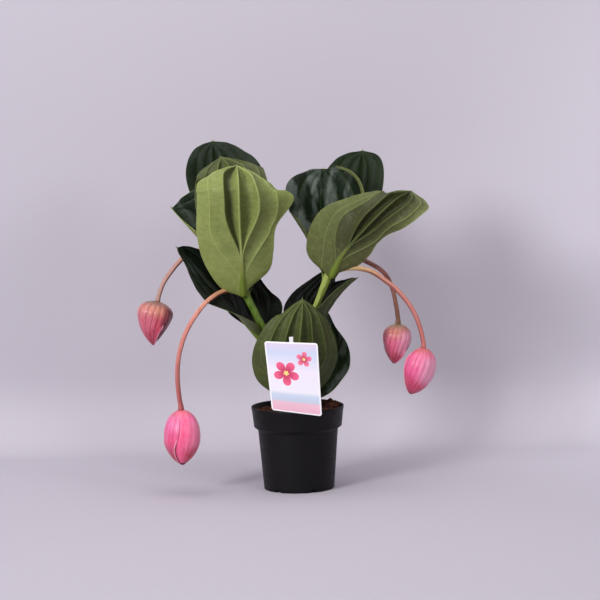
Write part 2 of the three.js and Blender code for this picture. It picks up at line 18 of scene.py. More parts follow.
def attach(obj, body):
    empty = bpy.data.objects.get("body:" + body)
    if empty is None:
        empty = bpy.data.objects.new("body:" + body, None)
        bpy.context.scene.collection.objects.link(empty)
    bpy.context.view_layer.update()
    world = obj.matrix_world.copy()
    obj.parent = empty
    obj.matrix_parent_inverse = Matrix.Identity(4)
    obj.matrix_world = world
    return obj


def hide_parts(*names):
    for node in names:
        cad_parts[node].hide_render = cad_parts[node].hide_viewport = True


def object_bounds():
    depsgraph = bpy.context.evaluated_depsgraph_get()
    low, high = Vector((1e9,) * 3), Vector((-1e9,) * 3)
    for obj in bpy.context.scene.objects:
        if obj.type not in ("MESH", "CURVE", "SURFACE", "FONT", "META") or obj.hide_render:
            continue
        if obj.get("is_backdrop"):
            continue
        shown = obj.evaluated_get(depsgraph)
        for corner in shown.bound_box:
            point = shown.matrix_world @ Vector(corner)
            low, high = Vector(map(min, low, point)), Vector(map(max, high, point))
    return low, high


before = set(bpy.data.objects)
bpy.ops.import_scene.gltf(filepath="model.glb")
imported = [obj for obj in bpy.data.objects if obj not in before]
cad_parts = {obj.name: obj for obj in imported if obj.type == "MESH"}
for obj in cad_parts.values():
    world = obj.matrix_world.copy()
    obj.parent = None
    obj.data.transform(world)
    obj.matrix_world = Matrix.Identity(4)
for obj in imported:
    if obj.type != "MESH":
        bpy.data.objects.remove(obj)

MM = 0.001
cad_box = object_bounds()
print("nodes in the frame:", len(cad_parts))

# %% [markdown]
# ## Helpers for curves
# A grown thing has few straight lines. Its ribs, widths and stalks are smooth curves through a few
# measured values. A Hermite spline passes through every value and takes each slope from the value's
# neighbours, so the same small function serves for numbers and for points.

# %% Smooth steps and splines
NEAR = 0.01  # a route's direction is taken between two spots this share before and after


def bounded(x):
    """x itself between 0 and 1, and the nearer of the two beyond them."""
    return min(max(x, 0), 1)


def between(first, last, share):
    return first + (last - first) * share


def smooth(low, high, x):
    t = bounded((x - low) / (high - low))
    return t * t * (3 - 2 * t)


def spline(stations, values, u):
    last = len(stations) - 1
    i = 0
    while i < last - 1 and u >= stations[i + 1]:
        i += 1
    span = stations[i + 1] - stations[i]
    t = (u - stations[i]) / span

    def slope(k):
        a, b = max(k - 1, 0), min(k + 1, last)
        return (values[b] - values[a]) / (stations[b] - stations[a])

    start = values[i] * (2 * t**3 - 3 * t**2 + 1) + slope(i) * (span * (t**3 - 2 * t**2 + t))
    return start + values[i + 1] * (3 * t**2 - 2 * t**3) + slope(i + 1) * (span * (t**3 - t**2))


def length_shares(points):
    along = [0.0]
    for before, after in zip(points, points[1:]):
        along.append(along[-1] + (after - before).length)
    return [a / along[-1] for a in along]


def route_at(points, u):
    """The point and the direction of a smooth route at a share u of its length."""
    shares = length_shares(points)
    ahead = spline(shares, points, min(u + NEAR, 1)) - spline(shares, points, max(u - NEAR, 0))
    return spline(shares, points, u), ahead.normalized()


def square_to(vector, along):
    return (vector - along * vector.dot(along)).normalized()


def to_metres(points):
    return [Vector(p) * MM for p in points]


print("halfway up a smooth step:", smooth(0, 1, 0.5))

# %% [markdown]
# ## Helpers for meshes
# Leaves, bracts, stalks and soil all start from one operator: a flat grid. Each corner of the grid
# keeps two numbers, how far across and how far along it is, and the shaping function moves it to its
# place. The same two numbers become the UV map, so veins and streaks follow the grown form.

# %% Grids, seams and finished pieces
def start_mesh(uv, *values):
    """An empty mesh with its UV map and its stored numbers; they must be there before any corner is."""
    bm = bmesh.new()
    bm.loops.layers.uv.new(uv)
    for name in values:
        bm.verts.layers.float_vector.new(name)
    return bm


def make_grid(bm, columns, rows):
    """A grid whose corners carry (across, along): across runs from -1 to 1, along from 0 to 1."""
    made = bmesh.ops.create_grid(bm, x_segments=columns, y_segments=rows, size=1)["verts"]
    return {v: (v.co.x, (v.co.y + 1) / 2) for v in made}


def write_uv(bm, spots, name):
    layer = bm.loops.layers.uv[name]
    for face in bm.faces:
        for loop in face.loops:
            if loop.vert in spots:
                across, along = spots[loop.vert]
                loop[layer].uv = ((across + 1) / 2, along)


def close_tube(bm, spots, name):
    """Writes the UV map, joins the grid's two sides into a tube and closes its ends."""
    write_uv(bm, spots, name)
    bmesh.ops.remove_doubles(bm, verts=bm.verts[:], dist=0.01 * MM)
    open_edges = [e for e in bm.edges if e.is_boundary]
    bmesh.ops.holes_fill(bm, edges=open_edges, sides=0)


def add_object(name, data):
    made = bpy.data.objects.new(name, data)
    bpy.context.scene.collection.objects.link(made)
    return made


def to_mesh(name, bm):
    mesh = bpy.data.meshes.new(name)
    bm.to_mesh(mesh)
    bm.free()
    return mesh


def smooth_faces(bm):
    for face in bm.faces:
        face.smooth = True


def finish_piece(name, bm, materials, node=None):
    """Turns the bmesh into an object that rides on the plant and stands for its node."""
    smooth_faces(bm)
    piece = add_object("fine_" + name, to_mesh(name, bm))
    for material in materials:
        piece.data.materials.append(material)
    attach(piece, "root")
    if node:
        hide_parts(node)
    return piece


def count(piece):
    return f"{piece.name}: {len(piece.data.polygons)} faces"


# %% [markdown]
# ## Helpers for materials
# A material is a tree of nodes. Short functions add a node and wire it, so that the recipes below read
# like sums: a value that is already a socket is linked, and a plain number is typed in.

# %% Node helpers
def feed(tree, socket, value):
    if isinstance(value, bpy.types.NodeSocket):
        tree.links.new(value, socket)
    else:
        socket.default_value = value


def calc(tree, operation, *values):
    node = tree.nodes.new("ShaderNodeMath")
    node.operation = operation
    for socket, value in zip(node.inputs, values):
        feed(tree, socket, value)
    return node.outputs[0]


def step(tree, value, low, high, first=0.0, last=1.0):
    """A soft step: first below low, last above high."""
    node = tree.nodes.new("ShaderNodeMapRange")
    node.interpolation_type = "SMOOTHSTEP"
    feed(tree, node.inputs["Value"], value)
    for name, number in (("From Min", low), ("From Max", high), ("To Min", first), ("To Max", last)):
        feed(tree, node.inputs[name], number)
    return node.outputs["Result"]


def mix(tree, share, first, second, how="MIX"):
    node = tree.nodes.new("ShaderNodeMix")
    node.data_type = "RGBA"
    node.blend_type = how
    for socket, value in ((0, share), (6, first), (7, second)):
        feed(tree, node.inputs[socket], value)
    return node.outputs[2]


def ramp(tree, value, stops):
    node = tree.nodes.new("ShaderNodeValToRGB")
    feed(tree, node.inputs["Fac"], value)
    bar = node.color_ramp
    while len(bar.elements) < len(stops):
        bar.elements.new(0.5)
    for element, (place, colour) in zip(bar.elements, stops):
        element.position = place
        element.color = colour
    return node.outputs["Color"]


def speckle(tree, vector, scale, detail=3.0, roughness=0.55, distortion=0.0):
    node = tree.nodes.new("ShaderNodeTexNoise")
    feed(tree, node.inputs["Vector"], vector)
    for name, number in (("Scale", scale), ("Detail", detail), ("Roughness", roughness),
                         ("Distortion", distortion)):
        node.inputs[name].default_value = number
    return node.outputs["Fac"]


def stretched(tree, vector, scale):
    node = tree.nodes.new("ShaderNodeMapping")
    feed(tree, node.inputs["Vector"], vector)
    node.inputs["Scale"].default_value = scale
    return node.outputs["Vector"]


print("noise and ramps make the marks, steps and mixes lay them on")

# %% [markdown]
# A recipe starts from a place on the piece or from a value that its mesh carries. It ends in three
# things that every finish varies: a colour, a roughness and a fine relief. Marks are laid over a colour
# as a painter lays thin coats, each with its own mask.

# %% Places, coats and finishes
def object_place(tree):
    return tree.nodes.new("ShaderNodeTexCoord").outputs["Object"]


def stored(tree, name):
    """The three numbers that each corner of the mesh carries under a name."""
    node = tree.nodes.new("ShaderNodeAttribute")
    node.attribute_name = name
    return node.outputs["Vector"]


def split(tree, vector):
    node = tree.nodes.new("ShaderNodeSeparateXYZ")
    feed(tree, node.inputs["Vector"], vector)
    return node.outputs


def inverse(tree, mask):
    return calc(tree, "SUBTRACT", 1, mask)


def uv_place(tree, name):
    node = tree.nodes.new("ShaderNodeUVMap")
    node.uv_map = name
    return node.outputs["UV"]


def bump(tree, height, depth):
    """Turns a height from 0 to 1 into a surface normal; depth is the height of 1 in metres."""
    node = tree.nodes.new("ShaderNodeBump")
    node.inputs["Strength"].default_value = 1
    node.inputs["Distance"].default_value = depth
    feed(tree, node.inputs["Height"], height)
    return node.outputs["Normal"]


def rgb(red, green, blue):
    """A screen colour from 0 to 255 as the linear light that shaders work in."""
    def linear(x):
        x = x / 255
        return x / 12.92 if x < 0.04045 else ((x + 0.055) / 1.055) ** 2.4
    return (linear(red), linear(green), linear(blue), 1)


def paint(tree, colour, *coats):
    """Lays coats over a colour: each is a mask, how strongly it covers, and a colour of its own."""
    for mask, share, tint in coats:
        colour = mix(tree, calc(tree, "MULTIPLY", mask, share), colour, tint)
    return colour


def new_material(name, coat=0.0, coat_roughness=0.2, specular=0.5, sheen=0.0):
    material = bpy.data.materials.new(name)
    material.use_nodes = True
    shader = material.node_tree.nodes["Principled BSDF"]
    shader.inputs["Coat Weight"].default_value = coat
    shader.inputs["Coat Roughness"].default_value = coat_roughness
    shader.inputs["Specular IOR Level"].default_value = specular
    shader.inputs["Sheen Weight"].default_value = sheen
    return material, material.node_tree, shader


def finish_material(tree, shader, colour, roughness, height, depth):
    feed(tree, shader.inputs["Base Color"], colour)
    feed(tree, shader.inputs["Roughness"], roughness)
    feed(tree, shader.inputs["Normal"], bump(tree, height, depth))


def new_group(name, inputs, outputs):
    """A node group: inputs and outputs are rows of (name, kind)."""
    group = bpy.data.node_groups.new(name, "ShaderNodeTree")
    for label, kind in inputs:
        group.interface.new_socket(name=label, in_out="INPUT", socket_type="NodeSocket" + kind)
    for label, kind in outputs:
        group.interface.new_socket(name=label, in_out="OUTPUT", socket_type="NodeSocket" + kind)
    return group, group.nodes.new("NodeGroupInput").outputs, group.nodes.new("NodeGroupOutput").inputs


def use_group(tree, group, **values):
    node = tree.nodes.new("ShaderNodeGroup")
    node.node_tree = group
    for label, value in values.items():
        feed(tree, node.inputs[label], value)
    return node.outputs


print("mid grey as linear light:", round(rgb(128, 128, 128)[0], 3))

# %% [markdown]
# ## The camera
# A long lens far in front of the plant, a little above it and looking slightly down, so that the pot's
# rim shows as a flat ellipse. It is made first, as everything that follows is seen through it. The
# camera is rolled by about a degree, as a hand-set tripod is.

# %% Make the camera
CAMERA_BACK = 4000 * MM
CAMERA_TILT = math.radians(8.5)
CAMERA_ASIDE = 7.4 * MM
AIM_HEIGHT = 286 * MM
RIM_LEVEL = 126 * MM
EYE_LEVEL = RIM_LEVEL + CAMERA_BACK * math.tan(CAMERA_TILT)
LENS = 160.4
SENSOR = 36
CAMERA_ROLL = math.radians(1.3)


def turn_to(thing, target):
    """Turns a camera or a lamp to a point; both look down their own -Z."""
    view_line = Vector(target) - thing.location
    thing.rotation_euler = view_line.to_track_quat("-Z", "Y").to_euler()


camera_data = bpy.data.cameras.new("camera")
camera_data.lens = LENS
camera_data.sensor_width = SENSOR
camera = add_object("camera", camera_data)
camera.location = (CAMERA_ASIDE, -CAMERA_BACK, EYE_LEVEL)
turn_to(camera, (CAMERA_ASIDE, 0, AIM_HEIGHT))
camera.rotation_euler.rotate_axis("Z", -CAMERA_ROLL)
bpy.context.scene.camera = camera
print("camera height above the table:", round(EYE_LEVEL, 3))

# %% [markdown]
# ## The backdrop and the lights
# The plant is shown on a sheet of pale lilac-grey paper that curves up behind it, so that floor and
# wall run into each other without a line. The sheet is one grid, rolled along a quarter circle. Its
# back is clear, so that the plant can also be looked at from behind.

# %% Make the paper sweep
SWEEP_HALF_WIDTH = 3000 * MM
SWEEP_FRONT = -3600 * MM
SWEEP_WALL = 430 * MM
SWEEP_CURVE = 110 * MM
SWEEP_TOP = 2600 * MM
SWEEP_COLUMNS, SWEEP_ROWS = 8, 320
PAPER = rgb(190, 184, 194)
PAPER_FIBRE = rgb(176, 170, 182)


def sweep_point(across, along):
    """Along the sheet: the floor, a quarter circle, then the wall."""
    floor_run = SWEEP_WALL - SWEEP_CURVE - SWEEP_FRONT
    arc_run = SWEEP_CURVE * math.pi / 2
    run = along * (floor_run + arc_run + SWEEP_TOP)
    x = across * SWEEP_HALF_WIDTH
    if run < floor_run:
        return Vector((x, SWEEP_FRONT + run, 0))
    if run < floor_run + arc_run:
        a = (run - floor_run) / SWEEP_CURVE
        return Vector((x, SWEEP_WALL - SWEEP_CURVE * (1 - math.sin(a)), SWEEP_CURVE * (1 - math.cos(a))))
    return Vector((x, SWEEP_WALL, SWEEP_CURVE + run - floor_run - arc_run))


def make_paper():
    material, tree, shader = new_material("paper", specular=0.2)
    grain = speckle(tree, object_place(tree), 900)
    feed(tree, shader.inputs["Base Color"], paint(tree, PAPER, (grain, 0.06, PAPER_FIBRE)))
    shader.inputs["Roughness"].default_value = 0.9
    side = tree.nodes.new("ShaderNodeNewGeometry")
    feed(tree, shader.inputs["Alpha"], inverse(tree, side.outputs["Backfacing"]))
    return material


bm = bmesh.new()
for v, (across, along) in make_grid(bm, SWEEP_COLUMNS, SWEEP_ROWS).items():
    v.co = sweep_point(across, along)
smooth_faces(bm)
paper_sweep = add_object("paper_sweep", to_mesh("paper_sweep", bm))
paper_sweep.data.materials.append(make_paper())
paper_sweep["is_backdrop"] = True
print(count(paper_sweep))

# %% [markdown]
# A studio light for a potted plant is a big softbox high on one side, which gives the leaves one lit
# and one shaded flank, and weaker light from above and the other side, which opens the shadows.
# A lamp with a narrow cone passes beside the plant and lights only the paper behind it.
# An area light is such a box: its size sets how soft the shadows are.

# %% Make the lights
LIGHTS = {
    "key": {"at": (-3200, -4200, 2250), "aim": (0, 0, 250), "size": 1400, "watts": 208},
    "fill": {"at": (2600, -3200, 1500), "aim": (100, 0, 250), "size": 900, "watts": 27},
    "top": {"at": (-100, -300, 2300), "aim": (0, 0, 250), "size": 2600, "watts": 46},
}
BACKDROP_LIGHT = {"at": (1400, -1100, 1500), "aim": (800, 430, 260), "cone": 40, "size": 150, "watts": 58}
WORLD_LIGHT = 0.14
WORLD_TONE = rgb(230, 228, 234)


def add_light(name, kind, light):
    data = bpy.data.lights.new(name + "_light", kind)
    data.energy = light["watts"]
    lamp = add_object(name + "_light", data)
    lamp.location = Vector(light["at"]) * MM
    turn_to(lamp, Vector(light["aim"]) * MM)
    return data


for name, light in LIGHTS.items():
    add_light(name, "AREA", light).size = light["size"] * MM

spot = add_light("backdrop", "SPOT", BACKDROP_LIGHT)
spot.spot_size = math.radians(BACKDROP_LIGHT["cone"])
spot.spot_blend = 1
spot.shadow_soft_size = BACKDROP_LIGHT["size"] * MM

world = bpy.data.worlds.new("studio_air")
world.use_nodes = True
world.node_tree.nodes["Background"].inputs["Color"].default_value = WORLD_TONE
world.node_tree.nodes["Background"].inputs["Strength"].default_value = WORLD_LIGHT
bpy.context.scene.world = world
bpy.context.scene.view_settings.view_transform = "Standard"
print("lights:", ", ".join(LIGHTS))

# %% [markdown]
# ## Thin sheets
# A leaf blade, a bract and a label card are thin sheets with two faces and a rim. The grid is shaped
# as the sheet's middle, copied, and the two skins are moved apart along the surface's own normal; a
# bridge between their open edges makes the rim. Each skin may be raised by its own amount, so a vein
# can stand out below and be a groove above.

# %% A sheet with two skins
def thin_sheet(bm, columns, rows, place, raise_front, raise_back):
    """Front is the side on which across runs to the right while along runs up.

    Returns the front corners and the back corners, each with its (across, along)."""
    front = make_grid(bm, columns, rows)
    for v, (across, along) in front.items():
        v.co = place(across, along)
    bm.normal_update()
    normals = {v: v.normal.copy() for v in front}
    front_faces = [f for f in bm.faces if f.verts[0] in front]
    made = bmesh.ops.duplicate(bm, geom=front_faces)
    back_faces = [g for g in made["geom"] if isinstance(g, bmesh.types.BMFace)]
    back = {made["vert_map"][v]: spot for v, spot in front.items()}
    for v, (across, along) in front.items():
        made["vert_map"][v].co -= normals[v] * raise_back(across, along)
        v.co += normals[v] * raise_front(across, along)
    bmesh.ops.reverse_faces(bm, faces=back_faces)
    rim = [e for f in front_faces + back_faces for e in f.edges if e.is_boundary]
    bmesh.ops.bridge_loops(bm, edges=list(dict.fromkeys(rim)))
    for face in back_faces:
        face.material_index = 1
    return front, back


def everywhere(height):
    """The same height at every spot of a sheet."""
    return lambda across, along: height * MM


def write_values(bm, name, values):
    """Stores three numbers at each corner, for a material to read."""
    layer = bm.verts.layers.float_vector[name]
    for v, value in values.items():
        v[layer] = value


print("a sheet has two skins and a rim")

# %% [markdown]
# ## The leaf blade
# A medinilla leaf is thick and leathery. A midrib, thick as a pencil at its foot, and two pairs of side
# veins run in arcs from the foot to the tip. Between them the blade is pleated: seen from below, the
# veins are the crests and the fields between them are valleys. The rows below hold, for each leaf, its
# rib, the direction across it at foot and tip, the folding of its halves and its half widths, how deep
# its pleats are, and its look: how dark, how olive and how much painted sheen, a blue-grey standing in
# for light that its wax reflects, lies on its upper side, each from 0 to 1. Some leaves are blunt beside
# the tip, have a third pair of side veins, a rolled margin or a tone that changes from vein to vein, which
# on some leaves is painted shade.

# %% The leaves' measures
LEAF_STATIONS = [0, 0.04, 0.14, 0.28, 0.45, 0.63, 0.79, 0.91, 0.97, 1]
LEAF_FOOT = 5.5
LEAF_POINT = 0.7
LEAVES = {
    "leaf_left_front": {
        "rib": [(-78, -8.9, 297.6), (-78, -38, 349), (-79, -62, 406), (-79, -74, 456), (-80, -58, 483),
                (-82, -24, 492)],
        "across": [(1, 0.15, 0), (1, 0.1, -0.14)],
        "fold": [(13, 20, 25), (14, 18, 18)],
        "left": [29, 47, 61, 67, 65, 64, 58, 42],
        "right": [8, 42, 51, 58, 88, 60, 49, 36],
        "pleats": (1, 1, 1),
        "look": (0, 0, 0.3),
        # painted shade: dark beside the left inner vein and right of the midrib, where the pleats' walls
        # face away from the light, and on the right half
        "shade": [(-3, 0, 0), (-1.04, 0.05, 0), (-0.96, 0.9, 0.6), (-0.6, 0.9, 0.6), (-0.4, 0.25, 0.1),
                  (-0.2, 0, 0), (0, 0, 0), (0.06, 0.5, 0.45), (0.6, 0.1, 0.05), (1, 0.1, 0), (1.1, 0.4, 0.2),
                  (2, 0.15, 0.1), (3, 0.05, 0)],
    },
    "leaf_left_inner": {
        "rib": [(-75.2, -5.5, 308.5), (-76, -13, 365), (-79, -16, 419), (-84, -8, 463), (-93, 8, 488),
                (-107, 30, 502)],
        "across": [(1, 0.1, 0.1), (1, 0.1, -0.08)],
        "fold": [(15, 17.5, 20), (15, 17.5, 20)],
        "left": [17, 36, 52, 64, 67, 63, 54, 38],
        "right": [9, 22, 33, 43, 50, 54, 60, 52],
        "pleats": (0.7, 1, 1),
        "look": (0.8, 0.45, 0.2),
    },
    "leaf_left_back": {
        "rib": [(-72.9, 8, 298.6), (-85, 56, 351), (-102, 80, 426), (-117, 104, 487), (-122, 136, 521)],
        "across": [(-1, 0, 0), (-1, 0, 0.1)],
        "fold": [(12, 11, 10), (12, 11, 10)],
        "left": [10, 27, 45, 63, 71, 62, 40, 22],
        "right": [5, 18, 32, 43, 49, 50, 33, 17],
        "pleats": (0.6, 1, 1),
        "look": (0.45, 0.5, 0.12),
    },
    "leaf_left_side": {
        "rib": [(-79, 8.8, 310), (-116, 40, 346), (-146, 52, 380), (-170, 60, 407), (-185, 69, 424)],
        "across": [(-0.15, -0.55, -0.8), (-0.1, -0.55, -0.8)],
        "fold": [(45, 42.5, 40), (125, 92.5, 60)],
        "left": [8, 26, 50, 72, 86, 84, 61, 40],
        "right": [8, 14, 20, 20, 14, 6, 3, 2],
        "blunt": {"left": 22, "right": 2},
        "pleats": (0.5, 1, 1),
        "look": (0.1, 0.3, 0.5),
    },
    "leaf_left_low": {
        "rib": [(-54, -2, 229), (-79, -6, 258), (-111, -2, 298), (-148, 4, 344), (-175, 0, 369)],
        "across": [(0, -1, -0.05), (-0.45, -0.7, -0.5)],
        "fold": [(15, 12, 10), (60, -16, -12)],
        "left": [9, 18, 30, 37, 38, 30, 18, 9],
        "right": [9, 24, 33, 37, 32, 21, 11, 6],
        "pleats": (0.4, 0.6, 0.5),
        "look": (0.9, 0.2, 0.1),
    },
    "leaf_left_low_back": {
        "rib": [(-44.1, 7.7, 235), (-51, 32, 261), (-64, 56, 288), (-78, 78, 318), (-89, 92, 348)],
        "across": [(-1, -0.1, -0.3), (-1, 0, -0.2)],
        "fold": [(15, 12.5, 10), (15, 12.5, 10)],
        "left": [9, 26, 35, 27, 22, 22, 14, 8],
        "right": [9, 28, 42, 48, 44, 30, 16, 8],
        "pleats": (0.5, 0.8, 0.6),
        "look": (1, 0.2, 0),
    },
    "leaf_right_front": {
        "rib": [(56, -8, 322.6), (73, -26, 356), (102, -52, 391), (130, -70, 421), (157, -66, 443),
                (176, -40, 449)],
        "across": [(0.92, 0.1, -0.3), (0.84, -0.35, -0.4)],
        "fold": [(20, 42, 34), (20, 20, 5)],
        "left": [41, 60, 71, 64, 49, 46, 49, 36],
        "right": [7, 32, 38, 32, 37, 42, 44, 35],
        "blunt": {"left": 4, "right": 24},
        "third_vein": ("left",),
        "pleats": (1, 1.2, 1),
        "look": (0.45, 0.8, 0.3),
        # partly the leaf's own browner olive middle and partly painted shade on the fields that face away
        # from the light
        "shade": [(-3, 0.6, 0.4), (-2.05, 0.7, 0.45), (-1.9, 0.9, 0.95), (-1, 1, 1), (1, 1, 1),
                  (1.1, 0.85, 1), (2, 0.5, 0.9), (3, 0.15, 0.6)],
    },
    "leaf_right_side": {
        "rib": [(46.5, 9.3, 318), (47, 28, 366), (42, 50, 410), (43, 68, 453), (49, 90, 477)],
        "across": [(-1, 0.15, 0), (-1, 0, -0.1)],
        "fold": [(25, 27.5, 30), (35, 25, 15)],
        "left": [6, 21, 42, 69, 79, 71, 43, 22],
        "right": [4, 16, 25, 37, 52, 53, 28, 15],
        "pleats": (0.5, 1.3, 1.6),
        "look": (0.25, 0, 1),
        "shade": [(-3, 0.7, 0.4), (-2.4, 0.7, 0.4), (-2.1, 0.25, 0), (2.1, 0.25, 0), (2.4, 0.7, 0.4),
                  (3, 0.7, 0.4)],
        "rolled": {"left": (0.5, 0.62, 0.94, 1), "right": (0.12, 0.34, 0.5, 0.62)},
    },
    "leaf_right_back": {
        "rib": [(57.3, 6.8, 320.4), (76, 52, 363), (92, 84, 410), (104, 110, 461), (109, 138, 501)],
        "across": [(-1, 0.1, 0.1), (-1, 0.1, 0)],
        "fold": [(12, 11, 10), (12, 11, 10)],
        "left": [8, 16, 26, 34, 38, 38, 32, 20],
        "right": [5, 17, 31, 47, 58, 54, 40, 22],
        "pleats": (0.4, 0.5, 0.6),
        "look": (0.5, 0.9, 0),
    },
    "leaf_right_low": {
        "rib": [(26.4, -1, 235.9), (45, -3, 263), (63, -3, 288), (82, 3, 307), (94, 10, 316)],
        "across": [(0, 1, 0.05), (-0.5, 0.8, 0.2)],
        "fold": [(40, 50, 60), (15, 15, 15)],
        "left": [8, 20, 28, 28, 22, 15, 8, 5],
        "right": [9, 18, 34, 42, 38, 24, 13, 7],
        "pleats": (0.5, 0.8, 0.6),
        "look": (1, 0.2, 0),
    },
    "leaf_right_low_back": {
        "rib": [(11.1, 7.9, 233.1), (10, 28, 255), (20, 52, 277), (39, 74, 300), (61, 90, 324)],
        "across": [(-1, -0.1, -0.1), (-1, 0, -0.4)],
        "fold": [(12, 11, 10), (12, 11, 10)],
        "left": [9, 26, 38, 44, 38, 26, 13, 7],
        "right": [9, 19, 30, 30, 26, 18, 10, 6],
        "pleats": (0.5, 0.8, 0.6),
        "look": (1, 0.2, 0),
    },
    "leaf_base_front": {
        "rib": [(-2.2, -9, 131.2), (2, -36, 182), (6, -53, 235), (10, -52, 269), (11, -38, 291)],
        "across": [(1, 0.1, 0), (1, 0.05, 0)],
        "fold": [(20, 22.5, 25), (20, 22.5, 25)],
        "left": [24, 57, 70, 72, 63, 48, 30, 15],
        "right": [20, 47, 60, 65, 59, 47, 30, 15],
        "third_vein": ("left", "right"),
        "pleats": (0.75, 1.9, 1.6),
        "look": (0.9, 0.15, 0.2),
        # painted shade: darker towards the right half
        "shade": [(-3, 0.9, 0.2), (0, 0.8, 0.15), (1, 1, 0.2), (2, 1.3, 0.4), (3, 1.3, 0.3)],
    },
    "leaf_base_back": {
        "rib": [(-0.8, 6.7, 128.5), (17, 44, 170), (26, 66, 209), (31, 84, 242), (33, 100, 265)],
        "across": [(-1, 0.1, 0), (-1, 0.1, 0)],
        "fold": [(12, 11, 10), (12, 11, 10)],
        "left": [20, 45, 57, 64, 55, 32, 20, 12],
        "right": [17, 39, 55, 60, 55, 41, 18, 12],
        "pleats": (0.6, 1, 1),
        "look": (0, 1, 1),
    },
}
print("leaves:", len(LEAVES))

# %% [markdown]
# The grid's columns are gathered at the veins, where the surface turns fastest, and its rows at the
# tip, where the margin turns in. What all leaves share in their growth stands here once: where their
# veins run, how deep the fields between them sink, and how thick the midrib is from foot to tip.

# %% Measures that all leaves share
FIELD_COLUMNS = 13
BLADE_ROWS = 100
COLUMN_GATHER = 0.72
ROW_GATHER = 1.5
BLADE_HALF = 0.42
INNER_VEIN = 0.36
INNER_PARTS = (0.23, 0.62)  # where along the leaf the inner vein leaves the midrib
INNER_CLOSES = (0.85, 0.4)  # from where on and by how much it bends back at the tip
OUTER_VEIN = 0.7
OUTER_PARTS = (0.02, 0.5)
THIRD_VEIN = 0.434
VEIN_CLEAR = (1.2, 2.6)
VEIN_LIMIT = (0.5, 0.84)
EVEN_STATIONS = [0, 0.28, 0.63, 0.91, 1]
PLEATS = [(0.66, 14.0), (0.16, 4.0), (0.06, 1.6)]
PLEAT_POWER = 0.9
PLEATS_OPEN = (0.1, 0.34)  # the fields deepen over this stretch of the leaf
PLEATS_CLOSE = (0.94, 0.6)  # and get shallower from here on, by this share
VEIN_RIDGE = 0.5
RIDGE_GROWS = (0.1, 0.3)
RIDGE_FADES = (0.9, 0.7)
VEIN_HALF = 0.9
VEIN_GROOVE = 0.35
KEEL_AT = [0, 0.05, 0.12, 0.22, 0.35, 0.7, 1]
KEEL_DEPTH = [4.5, 4.2, 3.4, 2.4, 1.4, 0.8, 0.3]
KEEL_HALF = [5.5, 7, 5.6, 3.6, 2.1, 1.2, 0.3]
MARGIN_WAVE = 0.9
WAVE_TURNS = 11
UNEVEN = 0.9
UNEVEN_SIZE = 14
UNEVEN_ALONG = 6
QUILT = 0.35
QUILT_FINER = 3
FOOT_SUNK = 3.0
ROLL_R = 2.0
ROLL_TURN = math.radians(160)
ROLL_FLAP = 4.5
print("side veins on each half of a leaf:", len(PLEATS) - 1)

# %% [markdown]
# A blade is a stack of cross-sections along its curved rib. Each has its own width, fold and veins on
# either half. The side veins keep to the even growth of the blade, so a bulge in the margin leaves
# them where they are.

# %% One cross-section of a blade
def row_share(t):
    return 1 - (1 - t) ** ROW_GATHER


def three_way(values, u):
    foot, half, tip = values
    return between(foot, half, 2 * u) if u < 0.5 else between(half, tip, 2 * u - 1)


def fade(ending, u):
    """1 up to a place along the leaf, then less by a share until the tip."""
    start, share = ending
    return 1 - share * smooth(start, 1, u)


def half_widths(leaf, side):
    """The widths of one half from foot to tip; a blunt leaf is still broad beside its tip."""
    end = leaf.get("blunt", {}).get(side, LEAF_POINT)
    return [LEAF_FOOT, *leaf[side], end]


def even_width(leaf, side, u):
    """The width of one half as if it had grown evenly; the side veins keep to it."""
    widths = [LEAF_FOOT, *(leaf[side][k] for k in (2, 4, 6)), LEAF_POINT]
    return spline(EVEN_STATIONS, widths, u)


def blade_row(leaf, u):
    """All that one cross-section of the blade needs, left half first."""
    rib = [Vector(p) for p in leaf["rib"]]
    rib[0] += (rib[0] - rib[1]).normalized() * FOOT_SUNK
    middle, along = route_at(rib, u)
    foot_across, tip_across = (Vector(a) for a in leaf["across"])
    across = square_to(foot_across.lerp(tip_across, u), along)
    halves = []
    for side in ("left", "right"):
        width = spline(LEAF_STATIONS, half_widths(leaf, side), u)
        fold = math.radians(three_way(leaf["fold"][0 if side == "left" else 1], u))
        even = even_width(leaf, side, u) / width
        inner = INNER_VEIN * even * smooth(*INNER_PARTS, u) * fade(INNER_CLOSES, u)
        outer = OUTER_VEIN * even * smooth(*OUTER_PARTS, u)
        inner = min(max(inner, VEIN_CLEAR[0] / width), VEIN_LIMIT[0])
        outer = min(max(outer, VEIN_CLEAR[1] / width), VEIN_LIMIT[1])
        low, full, last, end = leaf.get("rolled", {}).get(side, (2, 2, 2, 2))
        rolled = smooth(low, full, u) * (1 - smooth(last, end, u)) if low < 1 else 0
        veins = [inner, outer]
        if side in leaf.get("third_vein", ()):
            veins.append(outer + (1 - outer) * THIRD_VEIN)
        halves.append({"width": width, "fold": fold, "lines": (0, inner, outer, 1), "veins": veins,
                       "rolled": rolled})
    return {"u": u, "middle": middle, "across": across, "face": along.cross(across), "halves": halves,
            "open": smooth(*PLEATS_OPEN, u) * fade(PLEATS_CLOSE, u), "pleats": leaf["pleats"],
            "keel": (spline(KEEL_AT, KEEL_DEPTH, u), spline(KEEL_AT, KEEL_HALF, u))}


print("a blade has", BLADE_ROWS, "cross-sections")

# %% [markdown]
# All the blade's relief is one sum: the fold of each half, the pleats between the veins, a slow wave
# along the margin and a little unevenness, as no leaf is smooth. A margin that is still rolled, as on a
# young leaf, is bent up as a strip is round a pencil.

# %% One spot of a blade
def roll_margin(distance, start, turn):
    """Rolls a flat strip up beyond start: a bend through turn, then a flap; gives across and up."""
    bend = ROLL_R * turn
    angle = min(max(distance - start, 0), bend) / ROLL_R
    flap = max(distance - start - bend, 0)
    return (min(distance, start) + ROLL_R * math.sin(angle) + flap * math.cos(turn),
            ROLL_R * (1 - math.cos(angle)) + flap * math.sin(turn))


